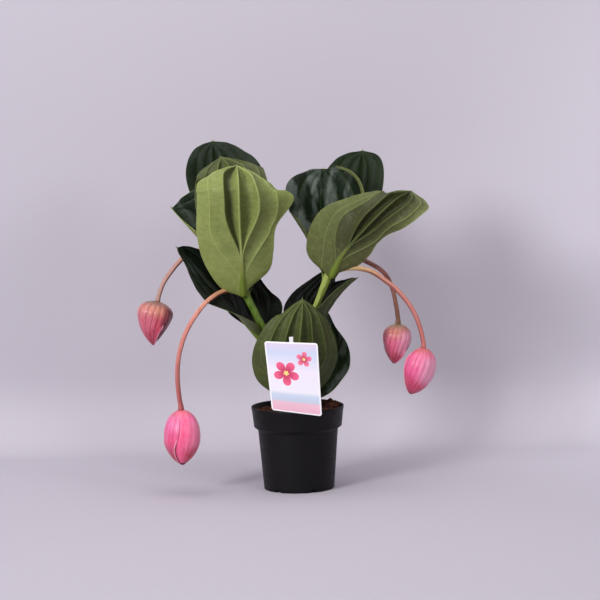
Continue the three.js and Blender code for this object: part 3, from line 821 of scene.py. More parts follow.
def blade_spot(row, grid_across):
    """The half of the blade, the share of its width and the place in the field between two veins."""
    half = row["halves"][0 if grid_across < 0 else 1]
    run = abs(grid_across) * 3
    field = min(int(run + 1e-6), 2)
    t = run - field
    t -= COLUMN_GATHER * math.sin(2 * math.pi * t) / (2 * math.pi)
    low, high = half["lines"][field], half["lines"][field + 1]
    return half, between(low, high, t), field, (high - low) * half["width"], t


def blade_point(row, grid_across, seed):
    half, v, field, field_width, t = blade_spot(row, grid_across)
    side = -1 if grid_across < 0 else 1
    ratio, deepest = PLEATS[field]
    depth = min(ratio * field_width, deepest) * row["open"] * row["pleats"][field]
    pleat = depth * math.sin(math.pi * bounded(t)) ** PLEAT_POWER
    place = Vector((side * v * half["width"] / UNEVEN_SIZE, row["u"] * UNEVEN_ALONG, seed))
    uneven = (UNEVEN * noise.noise(place) + QUILT * noise.noise(place * QUILT_FINER)) * row["open"]
    wave = MARGIN_WAVE * math.sin(WAVE_TURNS * row["u"] + seed * 2.1 + side) * v**4 * row["open"]
    rolled = half["rolled"]
    strip = rolled * (ROLL_R * ROLL_TURN - ROLL_R + ROLL_FLAP)
    out, up = roll_margin(v * (half["width"] + strip), half["width"] - ROLL_R * rolled, ROLL_TURN * rolled)
    lift = half["width"] * math.sin(half["fold"]) * (out / half["width"])**2 + up + pleat + uneven + wave
    return (row["middle"] + row["across"] * (side * out * math.cos(half["fold"]))
            + row["face"] * lift) * MM


def vein_distances(row, grid_across):
    """How far a spot is from the midrib, from the nearest side vein and from the margin."""
    half, v, _, _, _ = blade_spot(row, grid_across)
    width = half["width"]
    return v * width, min(abs(v - vein) for vein in half["veins"]) * width, (1 - v) * width


def vein_height(row, grid_across):
    """The keel of the midrib and the ridges of the side veins, under the blade."""
    from_midrib, from_vein, _ = vein_distances(row, grid_across)
    depth, half = row["keel"]
    keel = depth * max(0, 1 - (from_midrib / half) ** 2) ** 1.5
    strength = smooth(*RIDGE_GROWS, row["u"]) * fade(RIDGE_FADES, row["u"])
    return keel, strength * math.exp(-((from_vein / VEIN_HALF) ** 2))


print("columns across a blade:", 6 * FIELD_COLUMNS)

# %% [markdown]
# ## The leaves' finish
# The upper side of a medinilla leaf is nearly black-green and waxy, the underside is pale, matt and
# yellow-green, so the two skins have materials of their own. Both read the distances to the veins
# that the mesh carries, and a look that differs from leaf to leaf.

# %% Materials of the leaf
def make_vein_group():
    """Masks for the midrib, the side veins, the margin and the fine net between the veins."""
    group, inputs, outputs = new_group(
        "vein_masks", [("Veins", "Vector"), ("Place", "Vector")],
        [("Midrib", "Float"), ("Side", "Float"), ("Margin", "Float"), ("Net", "Float"), ("Cloud", "Float")])
    distances = split(group, inputs["Veins"])
    feed(group, outputs["Midrib"], step(group, distances["X"], 0.55, 1.05, 1, 0))
    feed(group, outputs["Side"], step(group, distances["Y"], 0.02, 0.1, 1, 0))
    feed(group, outputs["Margin"], step(group, distances["Z"], 0.02, 0.09, 1, 0))
    cells = group.nodes.new("ShaderNodeTexVoronoi")
    cells.feature = "DISTANCE_TO_EDGE"
    feed(group, cells.inputs["Vector"], stretched(group, inputs["Place"], (260, 420, 1)))
    cells.inputs["Scale"].default_value = 1
    feed(group, outputs["Net"], step(group, cells.outputs["Distance"], 0.02, 0.16))
    feed(group, outputs["Cloud"], speckle(group, stretched(group, inputs["Place"], (22, 34, 1)), 1.6))
    return group


def leaf_masks(tree, group):
    """The masks of the vein group, wired to what the mesh carries, and the blade's own place."""
    place = uv_place(tree, "blade")
    return use_group(tree, group, Veins=stored(tree, "veins"), Place=place), place


def finish_leaf(tree, shader, masks, place, colour, roughness, depth):
    """Both sides share their fine relief: the net of veins, a grain and a quilting between the veins."""
    height = calc(tree, "MULTIPLY", masks["Net"], 0.25)
    for marks, share in ((speckle(tree, place, 900), 0.15),
                         (speckle(tree, stretched(tree, place, (170, 240, 1)), 1, 2), 0.6)):
        height = calc(tree, "ADD", height, calc(tree, "MULTIPLY", marks, share))
    finish_material(tree, shader, colour, roughness, height, depth)


def make_under_material(group):
    """Pale and matt with light flecks and painted shade in the hollows between the veins; the foot of the
    midrib is a fresh green.
    """
    material, tree, shader = new_material("leaf_under", specular=0.35)
    masks, place = leaf_masks(tree, group)
    growth, look = split(tree, stored(tree, "growth")), split(tree, stored(tree, "look"))
    colour = mix(tree, look["X"], rgb(140, 151, 82), rgb(58, 70, 26))
    colour = paint(tree, colour, (look["Y"], 0.8, rgb(62, 59, 28)))
    hollow_shade_tint = mix(tree, 1.0, colour, rgb(132, 138, 104), "MULTIPLY")
    # painted shade: the hollows between the veins are darkened
    colour = paint(tree, colour, (growth["Y"], 0.45, hollow_shade_tint))
    pale = mix(tree, 1.0, colour, rgb(206, 208, 198), "MULTIPLY")
    veins = mix(tree, look["X"], rgb(158, 168, 100), rgb(86, 100, 50))
    flecks = speckle(tree, stretched(tree, place, (120, 190, 1)), 1, 5, 0.7)
    foot = step(tree, growth["X"], 0.1, 0.34, 1, 0)
    rib = paint(tree, veins, (foot, 1, rgb(104, 124, 30)),
                (foot, step(tree, growth["X"], 0.16, 0.24), rgb(120, 108, 44)))
    colour = paint(
        tree, colour,
        (step(tree, masks["Cloud"], 0.3, 0.75), 0.5, pale),
        (step(tree, flecks, 0.42, 0.66), 0.35, pale),
        (inverse(tree, masks["Net"]), 0.16, veins),
        (step(tree, flecks, 0.5, 0.3), 0.3, veins),
        (masks["Side"], 0.55, veins),
        (masks["Margin"], 0.6, veins),
        (masks["Midrib"], step(tree, growth["X"], 0.2, 0.45, 0.85, 0.45), rib))
    roughness = step(tree, masks["Cloud"], 0.25, 0.8, 0.5, 0.68)
    finish_leaf(tree, shader, masks, place, colour, roughness, 0.3 * MM)
    return material


def make_upper_material(group):
    """Dark and waxy, with painted sheen: patches of dull blue-grey that stand in for the light its wax
    reflects.
    """
    material, tree, shader = new_material("leaf_upper", coat=0.02, coat_roughness=0.2, specular=0.11)
    masks, place = leaf_masks(tree, group)
    look = split(tree, stored(tree, "look"))
    patches = speckle(tree, stretched(tree, place, (46, 20, 1)), 1, 3)
    # painted sheen: blue-grey patches that stand in for light reflected by the wax
    painted_sheen = calc(tree, "MULTIPLY", look["Z"], step(tree, patches, 0.44, 0.62))
    veins = mix(tree, look["X"], rgb(66, 90, 48), rgb(18, 24, 16))
    colour = paint(
        tree, mix(tree, look["X"], rgb(22, 34, 22), rgb(8, 11, 8)),
        (look["Y"], 0.6, rgb(24, 36, 12)),
        (painted_sheen, 0.7, rgb(100, 108, 102)),
        (inverse(tree, masks["Net"]), 0.12, veins),
        (masks["Side"], 0.5, veins),
        (masks["Midrib"], 0.5, veins),
        (masks["Margin"], 0.6, veins))
    roughness = step(tree, patches, 0.35, 0.65, 0.26, 0.4)
    finish_leaf(tree, shader, masks, place, colour, roughness, 0.55 * MM)
    return material


vein_group = make_vein_group()
leaf_upper = make_upper_material(vein_group)
leaf_under = make_under_material(vein_group)
print("leaf materials:", leaf_upper.name, leaf_under.name)

# %% [markdown]
# Each leaf is grown from its row of measures and ends in a little point, which every young medinilla
# leaf carries. The foot is sunk a few millimetres into the stem, as it grows out of it.

# %% Make the leaves
POINT_LENGTH = 5.0
POINT_RADII = (0.95, 0.2)
POINT_SIDES = 10
POINT_SUNK = 0.1  # the share of its length that the point sits in the blade
FIELD_SHADES = (1, 0.5, 0.25)  # how much painted shade darkens the hollow of each field, from the midrib outwards
SHADE_GROWS = (0.1, 0.36)  # the foot of a leaf has one tone; the tones listed from vein to vein come in from here


def add_point(bm, leaf):
    tip, along = route_at([Vector(p) for p in leaf["rib"]], 1)
    turn = along.to_track_quat("Z", "Y").to_matrix().to_4x4()
    turn.translation = (tip + along * (POINT_LENGTH * (0.5 - POINT_SUNK))) * MM
    foot_r, end_r = POINT_RADII
    made = bmesh.ops.create_cone(bm, cap_ends=True, segments=POINT_SIDES, radius1=foot_r * MM,
                                 radius2=end_r * MM, depth=POINT_LENGTH * MM, matrix=turn)
    write_values(bm, "veins", {v: (0, 0, 0.3) for v in made["verts"]})
    write_values(bm, "growth", {v: (1, 0, 0) for v in made["verts"]})
    write_values(bm, "look", {v: leaf["look"] for v in made["verts"]})


def look_at(leaf, place, u):
    """Tone, olive and painted sheen of a spot; some leaves change in tone from vein to vein, on some as
    painted shade.

    The place is 0 on the midrib, 1 and 2 on the side veins and 3 on the margin, and negative on the left.
    """
    tone, olive, painted_sheen = leaf["look"]
    if "shade" not in leaf:
        return tone, olive, painted_sheen
    stops = leaf["shade"]
    k = min(sum(place > stop[0] for stop in stops[1:-1]), len(stops) - 2)
    low, high = stops[k], stops[k + 1]
    t = bounded((place - low[0]) / (high[0] - low[0]))
    grown = smooth(*SHADE_GROWS, u)
    return (between(tone, between(low[1], high[1], t), grown),
            between(olive, between(low[2], high[2], t), grown), painted_sheen)


def make_leaf(name, leaf, seed):
    rows = [blade_row(leaf, row_share(i / BLADE_ROWS)) for i in range(BLADE_ROWS + 1)]

    def row_of(along):
        return rows[round(along * BLADE_ROWS)]

    def raise_under(across, along):
        keel, ridge = vein_height(row_of(along), across)
        return (BLADE_HALF + keel + VEIN_RIDGE * ridge) * MM

    def raise_upper(across, along):
        return (BLADE_HALF - VEIN_GROOVE * vein_height(row_of(along), across)[1]) * MM

    bm = start_mesh("blade", "veins", "growth", "look")
    under, upper = thin_sheet(bm, 6 * FIELD_COLUMNS, BLADE_ROWS,
                              lambda across, along: blade_point(row_of(along), across, seed),
                              raise_under, raise_upper)
    spots = {**under, **upper}
    length = sum((Vector(b) - Vector(a)).length for a, b in zip(leaf["rib"], leaf["rib"][1:]))
    veins, growth, look, flat = {}, {}, {}, {}
    for v, (across, along) in spots.items():
        row = row_of(along)
        distances = vein_distances(row, across)
        side = -1 if across < 0 else 1
        veins[v] = (distances[0] / row["keel"][1], distances[1] / 10, distances[2] / 10)
        _, _, field, _, t = blade_spot(row, across)
        # painted shade, strongest in the middle of each field
        hollow_shade = math.sin(math.pi * bounded(t)) * row["open"] * FIELD_SHADES[field]
        growth[v] = (row["u"], hollow_shade, 0)
        look[v] = look_at(leaf, side * (field + bounded(t)), row["u"])
        flat[v] = (side * distances[0] * MM * 2, row["u"] * length * MM)
    write_values(bm, "veins", veins)
    write_values(bm, "growth", growth)
    write_values(bm, "look", look)
    add_point(bm, leaf)
    write_uv(bm, flat, "blade")
    return finish_piece(name, bm, [leaf_under, leaf_upper], name)


for seed, (name, leaf) in enumerate(LEAVES.items()):
    print(count(make_leaf(name, leaf, seed)))

# %% [markdown]
# ## Round stalks
# Stem and flower stalks are round and follow a smooth route. A grid is wrapped round the route: across
# goes once round it, along goes from its foot to its end. Shallow ribs run lengthwise, as the strands
# under the skin of a green stem show on its outside.

# %% A tube along a route
def route_frames(points, rows):
    """Middle, side and other direction of each cross-section, carried along without twist."""
    frames = []
    side = Vector((0, -1, 0))
    for i in range(rows + 1):
        middle, along = route_at(points, i / rows)
        side = square_to(side, along)
        frames.append((middle, side, along.cross(side)))
    return frames


def round_point(middle, side, other, r, angle):
    return (middle + side * (r * math.cos(angle)) + other * (r * math.sin(angle))) * MM


def tube(bm, points, radius_at, columns, rows):
    """radius_at(turn, u) gives the radius; turn runs from 0 to 1 round the tube."""
    frames = route_frames([Vector(p) for p in points], rows)
    spots = make_grid(bm, columns, rows)
    for v, (across, u) in spots.items():
        turn = (across + 1) / 2
        v.co = round_point(*frames[round(u * rows)], radius_at(turn, u), 2 * math.pi * turn)
    return spots


print("tubes are wrapped round a route")

# %% [markdown]
# ## The stem
# The trunk forks just above the soil into two stems. Each swells at its nodes, where leaves and stalks
# leave it, and thins between them. It is green and fleshy, with paler streaks and a brownish ring at
# each node. The right stem is painted lighter and yellower, as painted light.

# %% Make the stem
LEFT_STEM = [(-6, 0, 62), (-6, 0, 90), (-7, 0, 122), (-11, 0, 150), (-30, 0, 199), (-46, 0, 235),
             (-62, 0, 271), (-72, 0, 292), (-76, 0, 303), (-77, 2, 317)]
LEFT_RADII = [7, 7, 7.5, 7, 5.2, 6.8, 5, 5.6, 7.2, 3.4]
RIGHT_STEM = [(-9, 0, 138), (-6, 0, 168), (2, 0, 196), (18, 0, 238), (30, 0, 272), (44, 0, 306),
              (55, 0, 333)]
RIGHT_RADII = [5, 5.2, 5.2, 6.8, 5, 5.6, 7.2]
STEM_COLUMNS = 48
LEFT_ROWS, RIGHT_ROWS = 190, 150
STEM_RIBS = 5
STEM_RIB_DEPTH = 0.28
STEM_UNEVEN = 0.3
NODE_HEIGHTS = (124, 236, 299, 330)
NODE_REACH = 5


def make_stem_material():
    material, tree, shader = new_material("stem_skin", coat=0.1, specular=0.45)
    place = object_place(tree)
    streaks = speckle(tree, stretched(tree, place, (330, 330, 26)), 1, 4)
    blotches = speckle(tree, place, 60)
    skin = split(tree, stored(tree, "skin"))
    green = ramp(tree, streaks, [(0.3, rgb(66, 90, 20)), (0.55, rgb(94, 122, 34)), (0.8, rgb(128, 152, 62))])
    colour = paint(
        tree, green,
        (step(tree, blotches, 0.55, 0.75), 0.35, rgb(70, 80, 26)),
        (skin["X"], 0.6, rgb(88, 92, 40)),
        # painted light: the right stem is made lighter and yellower
        (skin["Y"], 0.6, rgb(168, 178, 84)))
    finish_material(tree, shader, colour, step(tree, blotches, 0.3, 0.7, 0.4, 0.58), streaks, 0.25 * MM)
    return material


def stem_tube(bm, points, radii, rows, pale):
    """One of the two stems; pale is 1 for the right one, which is painted lighter and yellower as painted
    light.
    """
    shares = length_shares([Vector(p) for p in points])

    def radius_at(turn, u):
        rib = STEM_RIB_DEPTH * math.cos(2 * math.pi * STEM_RIBS * turn)
        uneven = STEM_UNEVEN * noise.noise(Vector((turn * 3, u * 14, rows)))
        return spline(shares, radii, u) + rib + uneven

    spots = tube(bm, points, radius_at, STEM_COLUMNS, rows)
    node = {v: max(1 - abs(v.co.z / MM - z) / NODE_REACH for z in NODE_HEIGHTS) for v in spots}
    write_values(bm, "skin", {v: (max(near, 0), pale, 0) for v, near in node.items()})
    close_tube(bm, spots, "skin_map")


bm = start_mesh("skin_map", "skin")
stem_tube(bm, LEFT_STEM, LEFT_RADII, LEFT_ROWS, 0)
stem_tube(bm, RIGHT_STEM, RIGHT_RADII, RIGHT_ROWS, 1)
stem_skin = make_stem_material()
print(count(finish_piece("stem", bm, [stem_skin], "stem")))

# %% [markdown]
# ## The flower stalks
# Four stalks leave the upper nodes and bow over under the weight of their buds. They are green-yellow
# or peach where they start and turn pink to red towards the bud. A deep red along the edge underneath is
# painted shade. The tint is stored at the mesh's corners as a blend of three colours along each stalk,
# with the painted shade laid over it.

# %% Make the flower stalks
STALK_R = 3.7
STALK_THINNING = 0.06
STALK_COLLARS = (1.0, 0.9)  # how much a stalk widens at its foot and at its bud
STALK_RIB = 0.3
STALK_RIBS = 4
STALK_ROWS = 150
STALK_COLUMNS = 32
BUD_LEAD = 7
SHADED_EDGE_SIDE = {
    "left": Vector((0.75, -0.45, -0.5)).normalized(),
    "right": Vector((-0.75, -0.45, -0.5)).normalized(),
}
STALKS = {
    "stalk_left_high": {
        "route": [(-82.4, 6.2, 306.5), (-90, 11, 318), (-101, 18, 336), (-115, 28, 350), (-133, 38, 359),
                  (-152, 38, 359), (-171, 28, 348), (-189, 23, 328), (-199, 20, 313), (-208, 17, 287)],
        "tints": [(150, 120, 80), (186, 134, 122), (166, 126, 118)],
    },
    "stalk_left_low": {
        "route": [(-82.9, -1.7, 302.1), (-92, -2, 303.5), (-102, -5, 303.5), (-112, -15.6, 301.5),
                  (-122, -32, 297.5), (-133, -44, 290), (-144, -49, 277.5), (-154, -50, 263.5),
                  (-163, -49, 247.5), (-170, -48, 230), (-176, -48, 206), (-178, -48, 177),
                  (-176, -47, 147), (-174, -46, 130)],
        "tints": [(222, 166, 122), (214, 134, 122), (180, 92, 94)],
    },
    "stalk_right_high": {
        "route": [(58.6, 1.8, 334.8), (81, 14, 345), (96, 17, 346), (111, 19, 339), (129, 21, 328),
                  (140, 22, 316), (148, 22, 296), (153, 22, 270), (155, 22, 244)],
        "tints": [(130, 88, 70), (124, 74, 68), (120, 86, 62)],
    },
    "stalk_right_low": {
        "route": [(61.9, -2.1, 329.6), (81, -4, 333), (100, -5, 332), (118, -6, 326), (139, -8, 311),
                  (152, -9, 300), (166, -10, 284), (178, -11, 265), (187, -12, 241), (191, -12, 211)],
        "tints": [(206, 186, 124), (214, 138, 126), (184, 100, 96)],
    },
}
# Each bud's 'dark' is a painted shade on one side and also deepens its lower end, 'pale' places a painted
# light on another side, and 'furrow' is the painted shade in the furrows.
BUDS = {
    "bud_left_high": {
        "top": (-208, 17, 287), "tip": (-216, 14, 221), "r": 26.3, "widest": 0.3, "full": 0.1,
        "turn": -50, "lip": (0.5, 3.0), "shaded_turn": -66, "pale": (70, 0.15), "relief": 1.2,
        "tints": [(118, 82, 46), (214, 122, 96), (214, 62, 86), (186, 32, 66)],
        "furrow": (132, 28, 44), "dark": (110, 6, 26), "inside": (92, 6, 26)},
    "bud_left_low": {
        "top": (-174, -46, 130), "tip": (-174, -48, 47), "r": 26.9, "widest": 0.5, "full": 1,
        "turn": 4, "lip": (0.5, 1.2), "shaded_turn": -100, "pale": (-60, 0.5), "relief": 0.55,
        "tints": [(232, 100, 122), (255, 116, 172), (250, 78, 132), (176, 14, 48)],
        "furrow": (232, 62, 116), "dark": (222, 56, 102), "inside": (250, 96, 146)},
    "bud_right_high": {
        "top": (155, 22, 244), "tip": (147, 22, 184), "r": 21.1, "widest": 0.36, "full": 0.5,
        "turn": -70, "lip": (0.6, 2.2), "shaded_turn": 76, "pale": (-70, 0.9), "relief": 0.9,
        "tints": [(132, 104, 56), (206, 112, 92), (240, 98, 134), (196, 36, 74)],
        "furrow": (160, 36, 64), "dark": (112, 14, 34), "inside": (150, 30, 64)},
    "bud_right_low": {
        "top": (191, -12, 211), "tip": (170, -16, 142), "r": 22, "widest": 0.45, "full": 0.8,
        "turn": -140, "lip": (0.1, 1.0), "shaded_turn": -130, "pale": (-60, 0.75), "relief": 0.8,
        "tints": [(220, 92, 90), (255, 106, 152), (255, 84, 144), (206, 40, 82)],
        "furrow": (206, 44, 92), "dark": (168, 40, 78), "inside": (140, 36, 64)},
}
TINT_STATIONS = [0.01, 0.2, 0.5, 0.9]


def plain_tint(*tint):
    return Vector(rgb(*tint)[:3])


def blend_along(stations, tints, u):
    """A colour that changes softly from one tint to the next along the stations."""
    colour = plain_tint(*tints[0])
    for start, end, tint in zip(stations, stations[1:], tints[1:]):
        colour = colour.lerp(plain_tint(*tint), smooth(start, end, u))
    return colour


def make_stalk_material():
    material, tree, shader = new_material("stalk_skin", coat=0.15, specular=0.45)
    place = object_place(tree)
    streaks = speckle(tree, stretched(tree, place, (300, 300, 60)), 1, 4)
    dots = speckle(tree, place, 700)
    colour = paint(
        tree, stored(tree, "tint"),
        (step(tree, streaks, 0.45, 0.75), 0.4, rgb(150, 72, 62)),
        (step(tree, dots, 0.58, 0.7), 0.3, rgb(236, 190, 160)))
    finish_material(tree, shader, colour, step(tree, dots, 0.3, 0.7, 0.42, 0.6), streaks, 0.2 * MM)
    return material


def lead_into(stalk, bud):
    """The direction in which a bud leaves its stalk."""
    top, tip = Vector(bud["top"]), Vector(bud["tip"])
    run = (top - Vector(stalk["route"][-2])).normalized()
    return (run + (tip - top).normalized()).normalized()


def make_stalk(name, stalk, bud, material):
    end = Vector(bud["top"])
    route = [*stalk["route"][:-1], end - lead_into(stalk, bud) * BUD_LEAD, end]

    def radius_at(turn, u):
        rib = STALK_RIB * math.cos(2 * math.pi * STALK_RIBS * turn + 3 * u)
        foot, neck = STALK_COLLARS
        collar = foot * (1 - smooth(0, 0.05, u)) + neck * smooth(0.95, 1, u)
        return STALK_R * (1 - STALK_THINNING * smooth(0.1, 0.5, u)) + rib + collar

    bm = start_mesh("skin_map", "tint")
    spots = tube(bm, route, radius_at, STALK_COLUMNS, STALK_ROWS)
    bm.normal_update()
    underside = SHADED_EDGE_SIDE["left" if route[0][0] < 0 else "right"]
    tints = {}
    for v, (_, along) in spots.items():
        # painted shade: the side that faces this way is tinted deep red
        under = smooth(0.6, 0.88, v.normal.dot(underside))
        tints[v] = blend_along([0, 0.5, 1], stalk["tints"], along).lerp(stalk_painted_shade, 0.75 * under)
    write_values(bm, "tint", tints)
    close_tube(bm, spots, "skin_map")
    return finish_piece(name, bm, [material], name)


stalk_skin = make_stalk_material()
stalk_painted_shade = plain_tint(96, 30, 30)
for name, stalk in STALKS.items():
    print(count(make_stalk(name, stalk, BUDS[name.replace("stalk", "bud")], stalk_skin)))

# %% [markdown]
# ## The buds
# A medinilla bud is wrapped in broad pink bracts, ribbed from stalk to tip. An outer bract covers a
# little more than half of an inner, fully closed one, and its free edge stands off as a thin lip.
# Both follow one form: a crown that swells from the stalk, and an end that draws in to a point.

# %% The form of a bud
BUD_ROWS = 90
INNER_COLUMNS = 196
OUTER_COLUMNS = 132
BUD_NECK_R = 3.2
BUD_TIP_R = 0.7
SLIM_END = (1.6, 0.95)
FULL_END = (2.1, 0.8)
INNER_PLEATS = 14
BRACT_HALF = 0.35
BRACT_ARC = 205
BRACT_LIFT = 1.5
EDGE_SWING = 6
BUD_TWIST = 22
INNER_REACH = 0.965


def bud_form(bud, s):
    """Share of the bud's radius at s, from the neck at 0 to the tip at 1."""
    w = bud["widest"]
    if s < w:
        return math.sqrt(max(1 - (1 - s / w) ** 2, 0))
    bulge, blunt = (between(slim, full, bud["full"]) for slim, full in zip(SLIM_END, FULL_END))
    return max(1 - ((s - w) / (1 - w)) ** bulge, 0) ** blunt


def bud_axis(stalk, bud, s):
    """Middle point and direction at a share s of the bud's bent axis."""
    top, tip = Vector(bud["top"]), Vector(bud["tip"])
    bend = top + lead_into(stalk, bud) * ((tip - top).length * 0.45)
    middle = top * (1 - s) ** 2 + bend * (2 * s * (1 - s)) + tip * s**2
    return middle, ((bend - top) * (1 - s) + (tip - bend) * s).normalized()


def bud_point(stalk, bud, s, degrees, lift):
    """A point of the bud's surface; degrees run round it, lift is added to its radius."""
    middle, down = bud_axis(stalk, bud, s)
    side = square_to(Vector((0, -1, 0)), down)
    r = max(bud["r"] * bud_form(bud, s), BUD_NECK_R if s < bud["widest"] else BUD_TIP_R) + lift
    return round_point(middle, side, down.cross(side), r, math.radians(degrees + BUD_TWIST * s))


print("a bract reaches", BRACT_ARC, "degrees round its bud")

# %% [markdown]
# A bract is palest on the ridges between its ribs and deep red at the tip. The furrows and one side of
# the bud get a dark red that is painted shade, and another side a pale pink that is painted light. The
# tint is stored at the corners, and the material lays fine lengthwise streaks over it. Some light passes
# under the skin, as petals let it through.

# %% The colours of a bud
PAINTED_LIGHT_TINT = (255, 168, 198)
EDGE_TINT = (255, 190, 206)
TIP_TINT = (88, 18, 26)
FURROW_SHADE_DEPTH = (0.35, 0.5)  # how much painted shade reddens the faintest furrow, and how much more the strongest
FURROW_SHADE_FADE = (0.1, 0.75)  # the painted shade of a furrow fades out between these heights of its ridge
SHADED_FLANK_EDGE, SHADED_FLANK_SHARE = (0.72, 0.97), 0.85
LOW_END, LOW_SHARE = (0.82, 0.97), 0.45
TIP_END, TIP_SHARE = (0.955, 0.99), 0.9


def ridge_at(degrees):
    """1 on a ridge and 0 in the furrow between two ridges; no two ridges are equally broad."""
    spread = degrees + 5 * math.sin(math.radians(degrees * 3 + 40))
    return abs(math.sin(math.radians(spread) * INNER_PLEATS / 2)) ** 0.7


def bud_tint(bud, s, degrees, ridge):
    """From the crown down to the tip, with painted shade in the furrows and on one side, and painted light
    on another.
    """
    colour = blend_along(TINT_STATIONS, bud["tints"], s)
    furrow, dark = plain_tint(*bud["furrow"]), plain_tint(*bud["dark"])
    faintest, more = FURROW_SHADE_DEPTH
    depth = faintest + more * abs(math.sin(math.radians(1.3 * degrees + 25)))
    # painted shade: the furrows are tinted a darker red
    colour = colour.lerp(furrow, (1 - smooth(*FURROW_SHADE_FADE, ridge)) * depth * smooth(0, 0.1, s))
    # painted shade: a dark red on the side of the bud that lies in shade
    facing = math.cos(math.radians(degrees + BUD_TWIST * s - bud["shaded_turn"]))
    colour = colour.lerp(dark, smooth(*SHADED_FLANK_EDGE, facing) * SHADED_FLANK_SHARE * smooth(0.02, 0.25, s))
    colour = colour.lerp(dark, smooth(*LOW_END, s) * LOW_SHARE)
    # painted light: a pale pink on the side of the bud that the light reaches, strongest halfway down
    painted_light_turn, painted_light_share = bud["pale"]
    clear = smooth(0.1, 1, math.cos(math.radians(degrees + BUD_TWIST * s - painted_light_turn)))
    band = smooth(0.1, 0.3, s) * (1 - smooth(0.6, 0.85, s))
    colour = colour.lerp(plain_tint(*PAINTED_LIGHT_TINT), clear * band * painted_light_share)
    return colour.lerp(plain_tint(*TIP_TINT), smooth(*TIP_END, s) * TIP_SHARE)


def make_bud_material():
    material, tree, shader = new_material("bract_skin", coat=0.2, specular=0.45, sheen=0.05)
    tint = stored(tree, "tint")
    place = uv_place(tree, "bract")
    streaks = speckle(tree, stretched(tree, place, (46, 3, 1)), 1, 5, 0.6, 0.4)
    fine = speckle(tree, stretched(tree, place, (190, 14, 1)), 1, 3)
    lighter = mix(tree, 0.45, tint, rgb(255, 178, 210))
    darker = mix(tree, 1.0, tint, rgb(226, 130, 160), "MULTIPLY")
    colour = paint(
        tree, tint,
        (step(tree, streaks, 0.52, 0.72), 0.7, lighter),
        (step(tree, streaks, 0.46, 0.3), 0.8, darker),
        (step(tree, fine, 0.48, 0.66), 0.6, lighter))
    finish_material(tree, shader, colour, step(tree, streaks, 0.3, 0.7, 0.5, 0.36), fine, 0.25 * MM)
    shader.inputs["Subsurface Weight"].default_value = 0.3
    shader.inputs["Subsurface Radius"].default_value = (1.0, 0.35, 0.5)
    shader.inputs["Subsurface Scale"].default_value = 12 * MM
    return material


bract_skin = make_bud_material()
print("bud material:", bract_skin.name)

# %% [markdown]
# The inner body is a wrapped grid; the outer bract is a thin sheet over part of the same form. What of
# the inner body shows deep between the bract's edges is in shade and takes a tint of its own.

# %% Make the buds
EDGE_OPENS = 50  # how much further round the bract's edges lie at the neck
LIP_GROWS = 0.15  # the length over which the lip lifts off


def make_bud(name, stalk, bud, material):
    def relief(s, degrees):
        return bud["relief"] * (ridge_at(degrees) - 0.6) * smooth(0.02, 0.22, s) * (1 - smooth(0.88, 1, s))

    def start_edge(s):
        """Where the outer bract begins round the bud; it opens out from the neck."""
        return bud["turn"] + EDGE_OPENS * (1 - smooth(0, 0.14, s)) - EDGE_SWING * math.sin(7 * s - 1)

    def end_edge(s):
        opened = BRACT_ARC - EDGE_OPENS * (1 - smooth(0, 0.14, s))
        return bud["turn"] + opened + EDGE_SWING * math.sin(6 * s)

    bm = start_mesh("bract", "tint")
    inner = make_grid(bm, INNER_COLUMNS, BUD_ROWS)
    inside = plain_tint(*bud["inside"])
    tints = {}
    for v, (across, s) in inner.items():
        degrees = 180 * across
        v.co = bud_point(stalk, bud, s * INNER_REACH, degrees, relief(s, degrees))
        beyond = min((degrees - end_edge(s)) % 360, (start_edge(s) - degrees) % 360)
        bare = 1 - smooth(10, 70, beyond)
        skin = bud_tint(bud, s, degrees, ridge_at(degrees))
        tints[v] = skin.lerp(inside, 0.9 * bare * smooth(0.05, 0.2, s))
    write_values(bm, "tint", tints)
    close_tube(bm, inner, "bract")

    lip_start, lip_height = bud["lip"]

    def outer_degrees(across, s):
        return between(start_edge(s), end_edge(s), (across + 1) / 2)

    def place(across, s):
        degrees = outer_degrees(across, s)
        shown = smooth(lip_start, lip_start + LIP_GROWS, s)
        lip = lip_height * smooth(0.86, 1, abs(across)) * shown
        lift = BRACT_LIFT * (0.35 + 0.65 * shown) * smooth(0, 0.12, s) * (1 - 0.4 * smooth(0.9, 1, s)) + lip
        return bud_point(stalk, bud, 0.004 + 0.994 * s, degrees, lift + relief(s, degrees))

    # The minus sets the front skin inside, so both skins of this bract face inwards, into the sheet.
    front, back = thin_sheet(bm, OUTER_COLUMNS, BUD_ROWS, place,
                             everywhere(-BRACT_HALF), everywhere(-BRACT_HALF))
    spots = {**front, **back}
    pale = plain_tint(*EDGE_TINT)
    tints = {}
    for v, (across, s) in spots.items():
        degrees = outer_degrees(across, s)
        colour = bud_tint(bud, s, degrees, ridge_at(degrees))
        edge = smooth(0.94, 0.985, abs(across)) * smooth(lip_start, lip_start + 0.1, s)
        tints[v] = colour.lerp(pale, 0.6 * edge)
    write_values(bm, "tint", tints)
    write_uv(bm, spots, "bract")
    return finish_piece(name, bm, [material, material], name)


for name, bud in BUDS.items():
    print(count(make_bud(name, STALKS[name.replace("bud", "stalk")], bud, bract_skin)))

# %% [markdown]
# ## The pot
# A blow-moulded nursery pot of thin black plastic: a tapered body, a step, a collar that stiffens the
# rim, and a recessed underside with a ring to stand on. Its wall is one outline turned round the
# upright axis. Six drain notches are cut through the foot ring, as water must leave the pot.

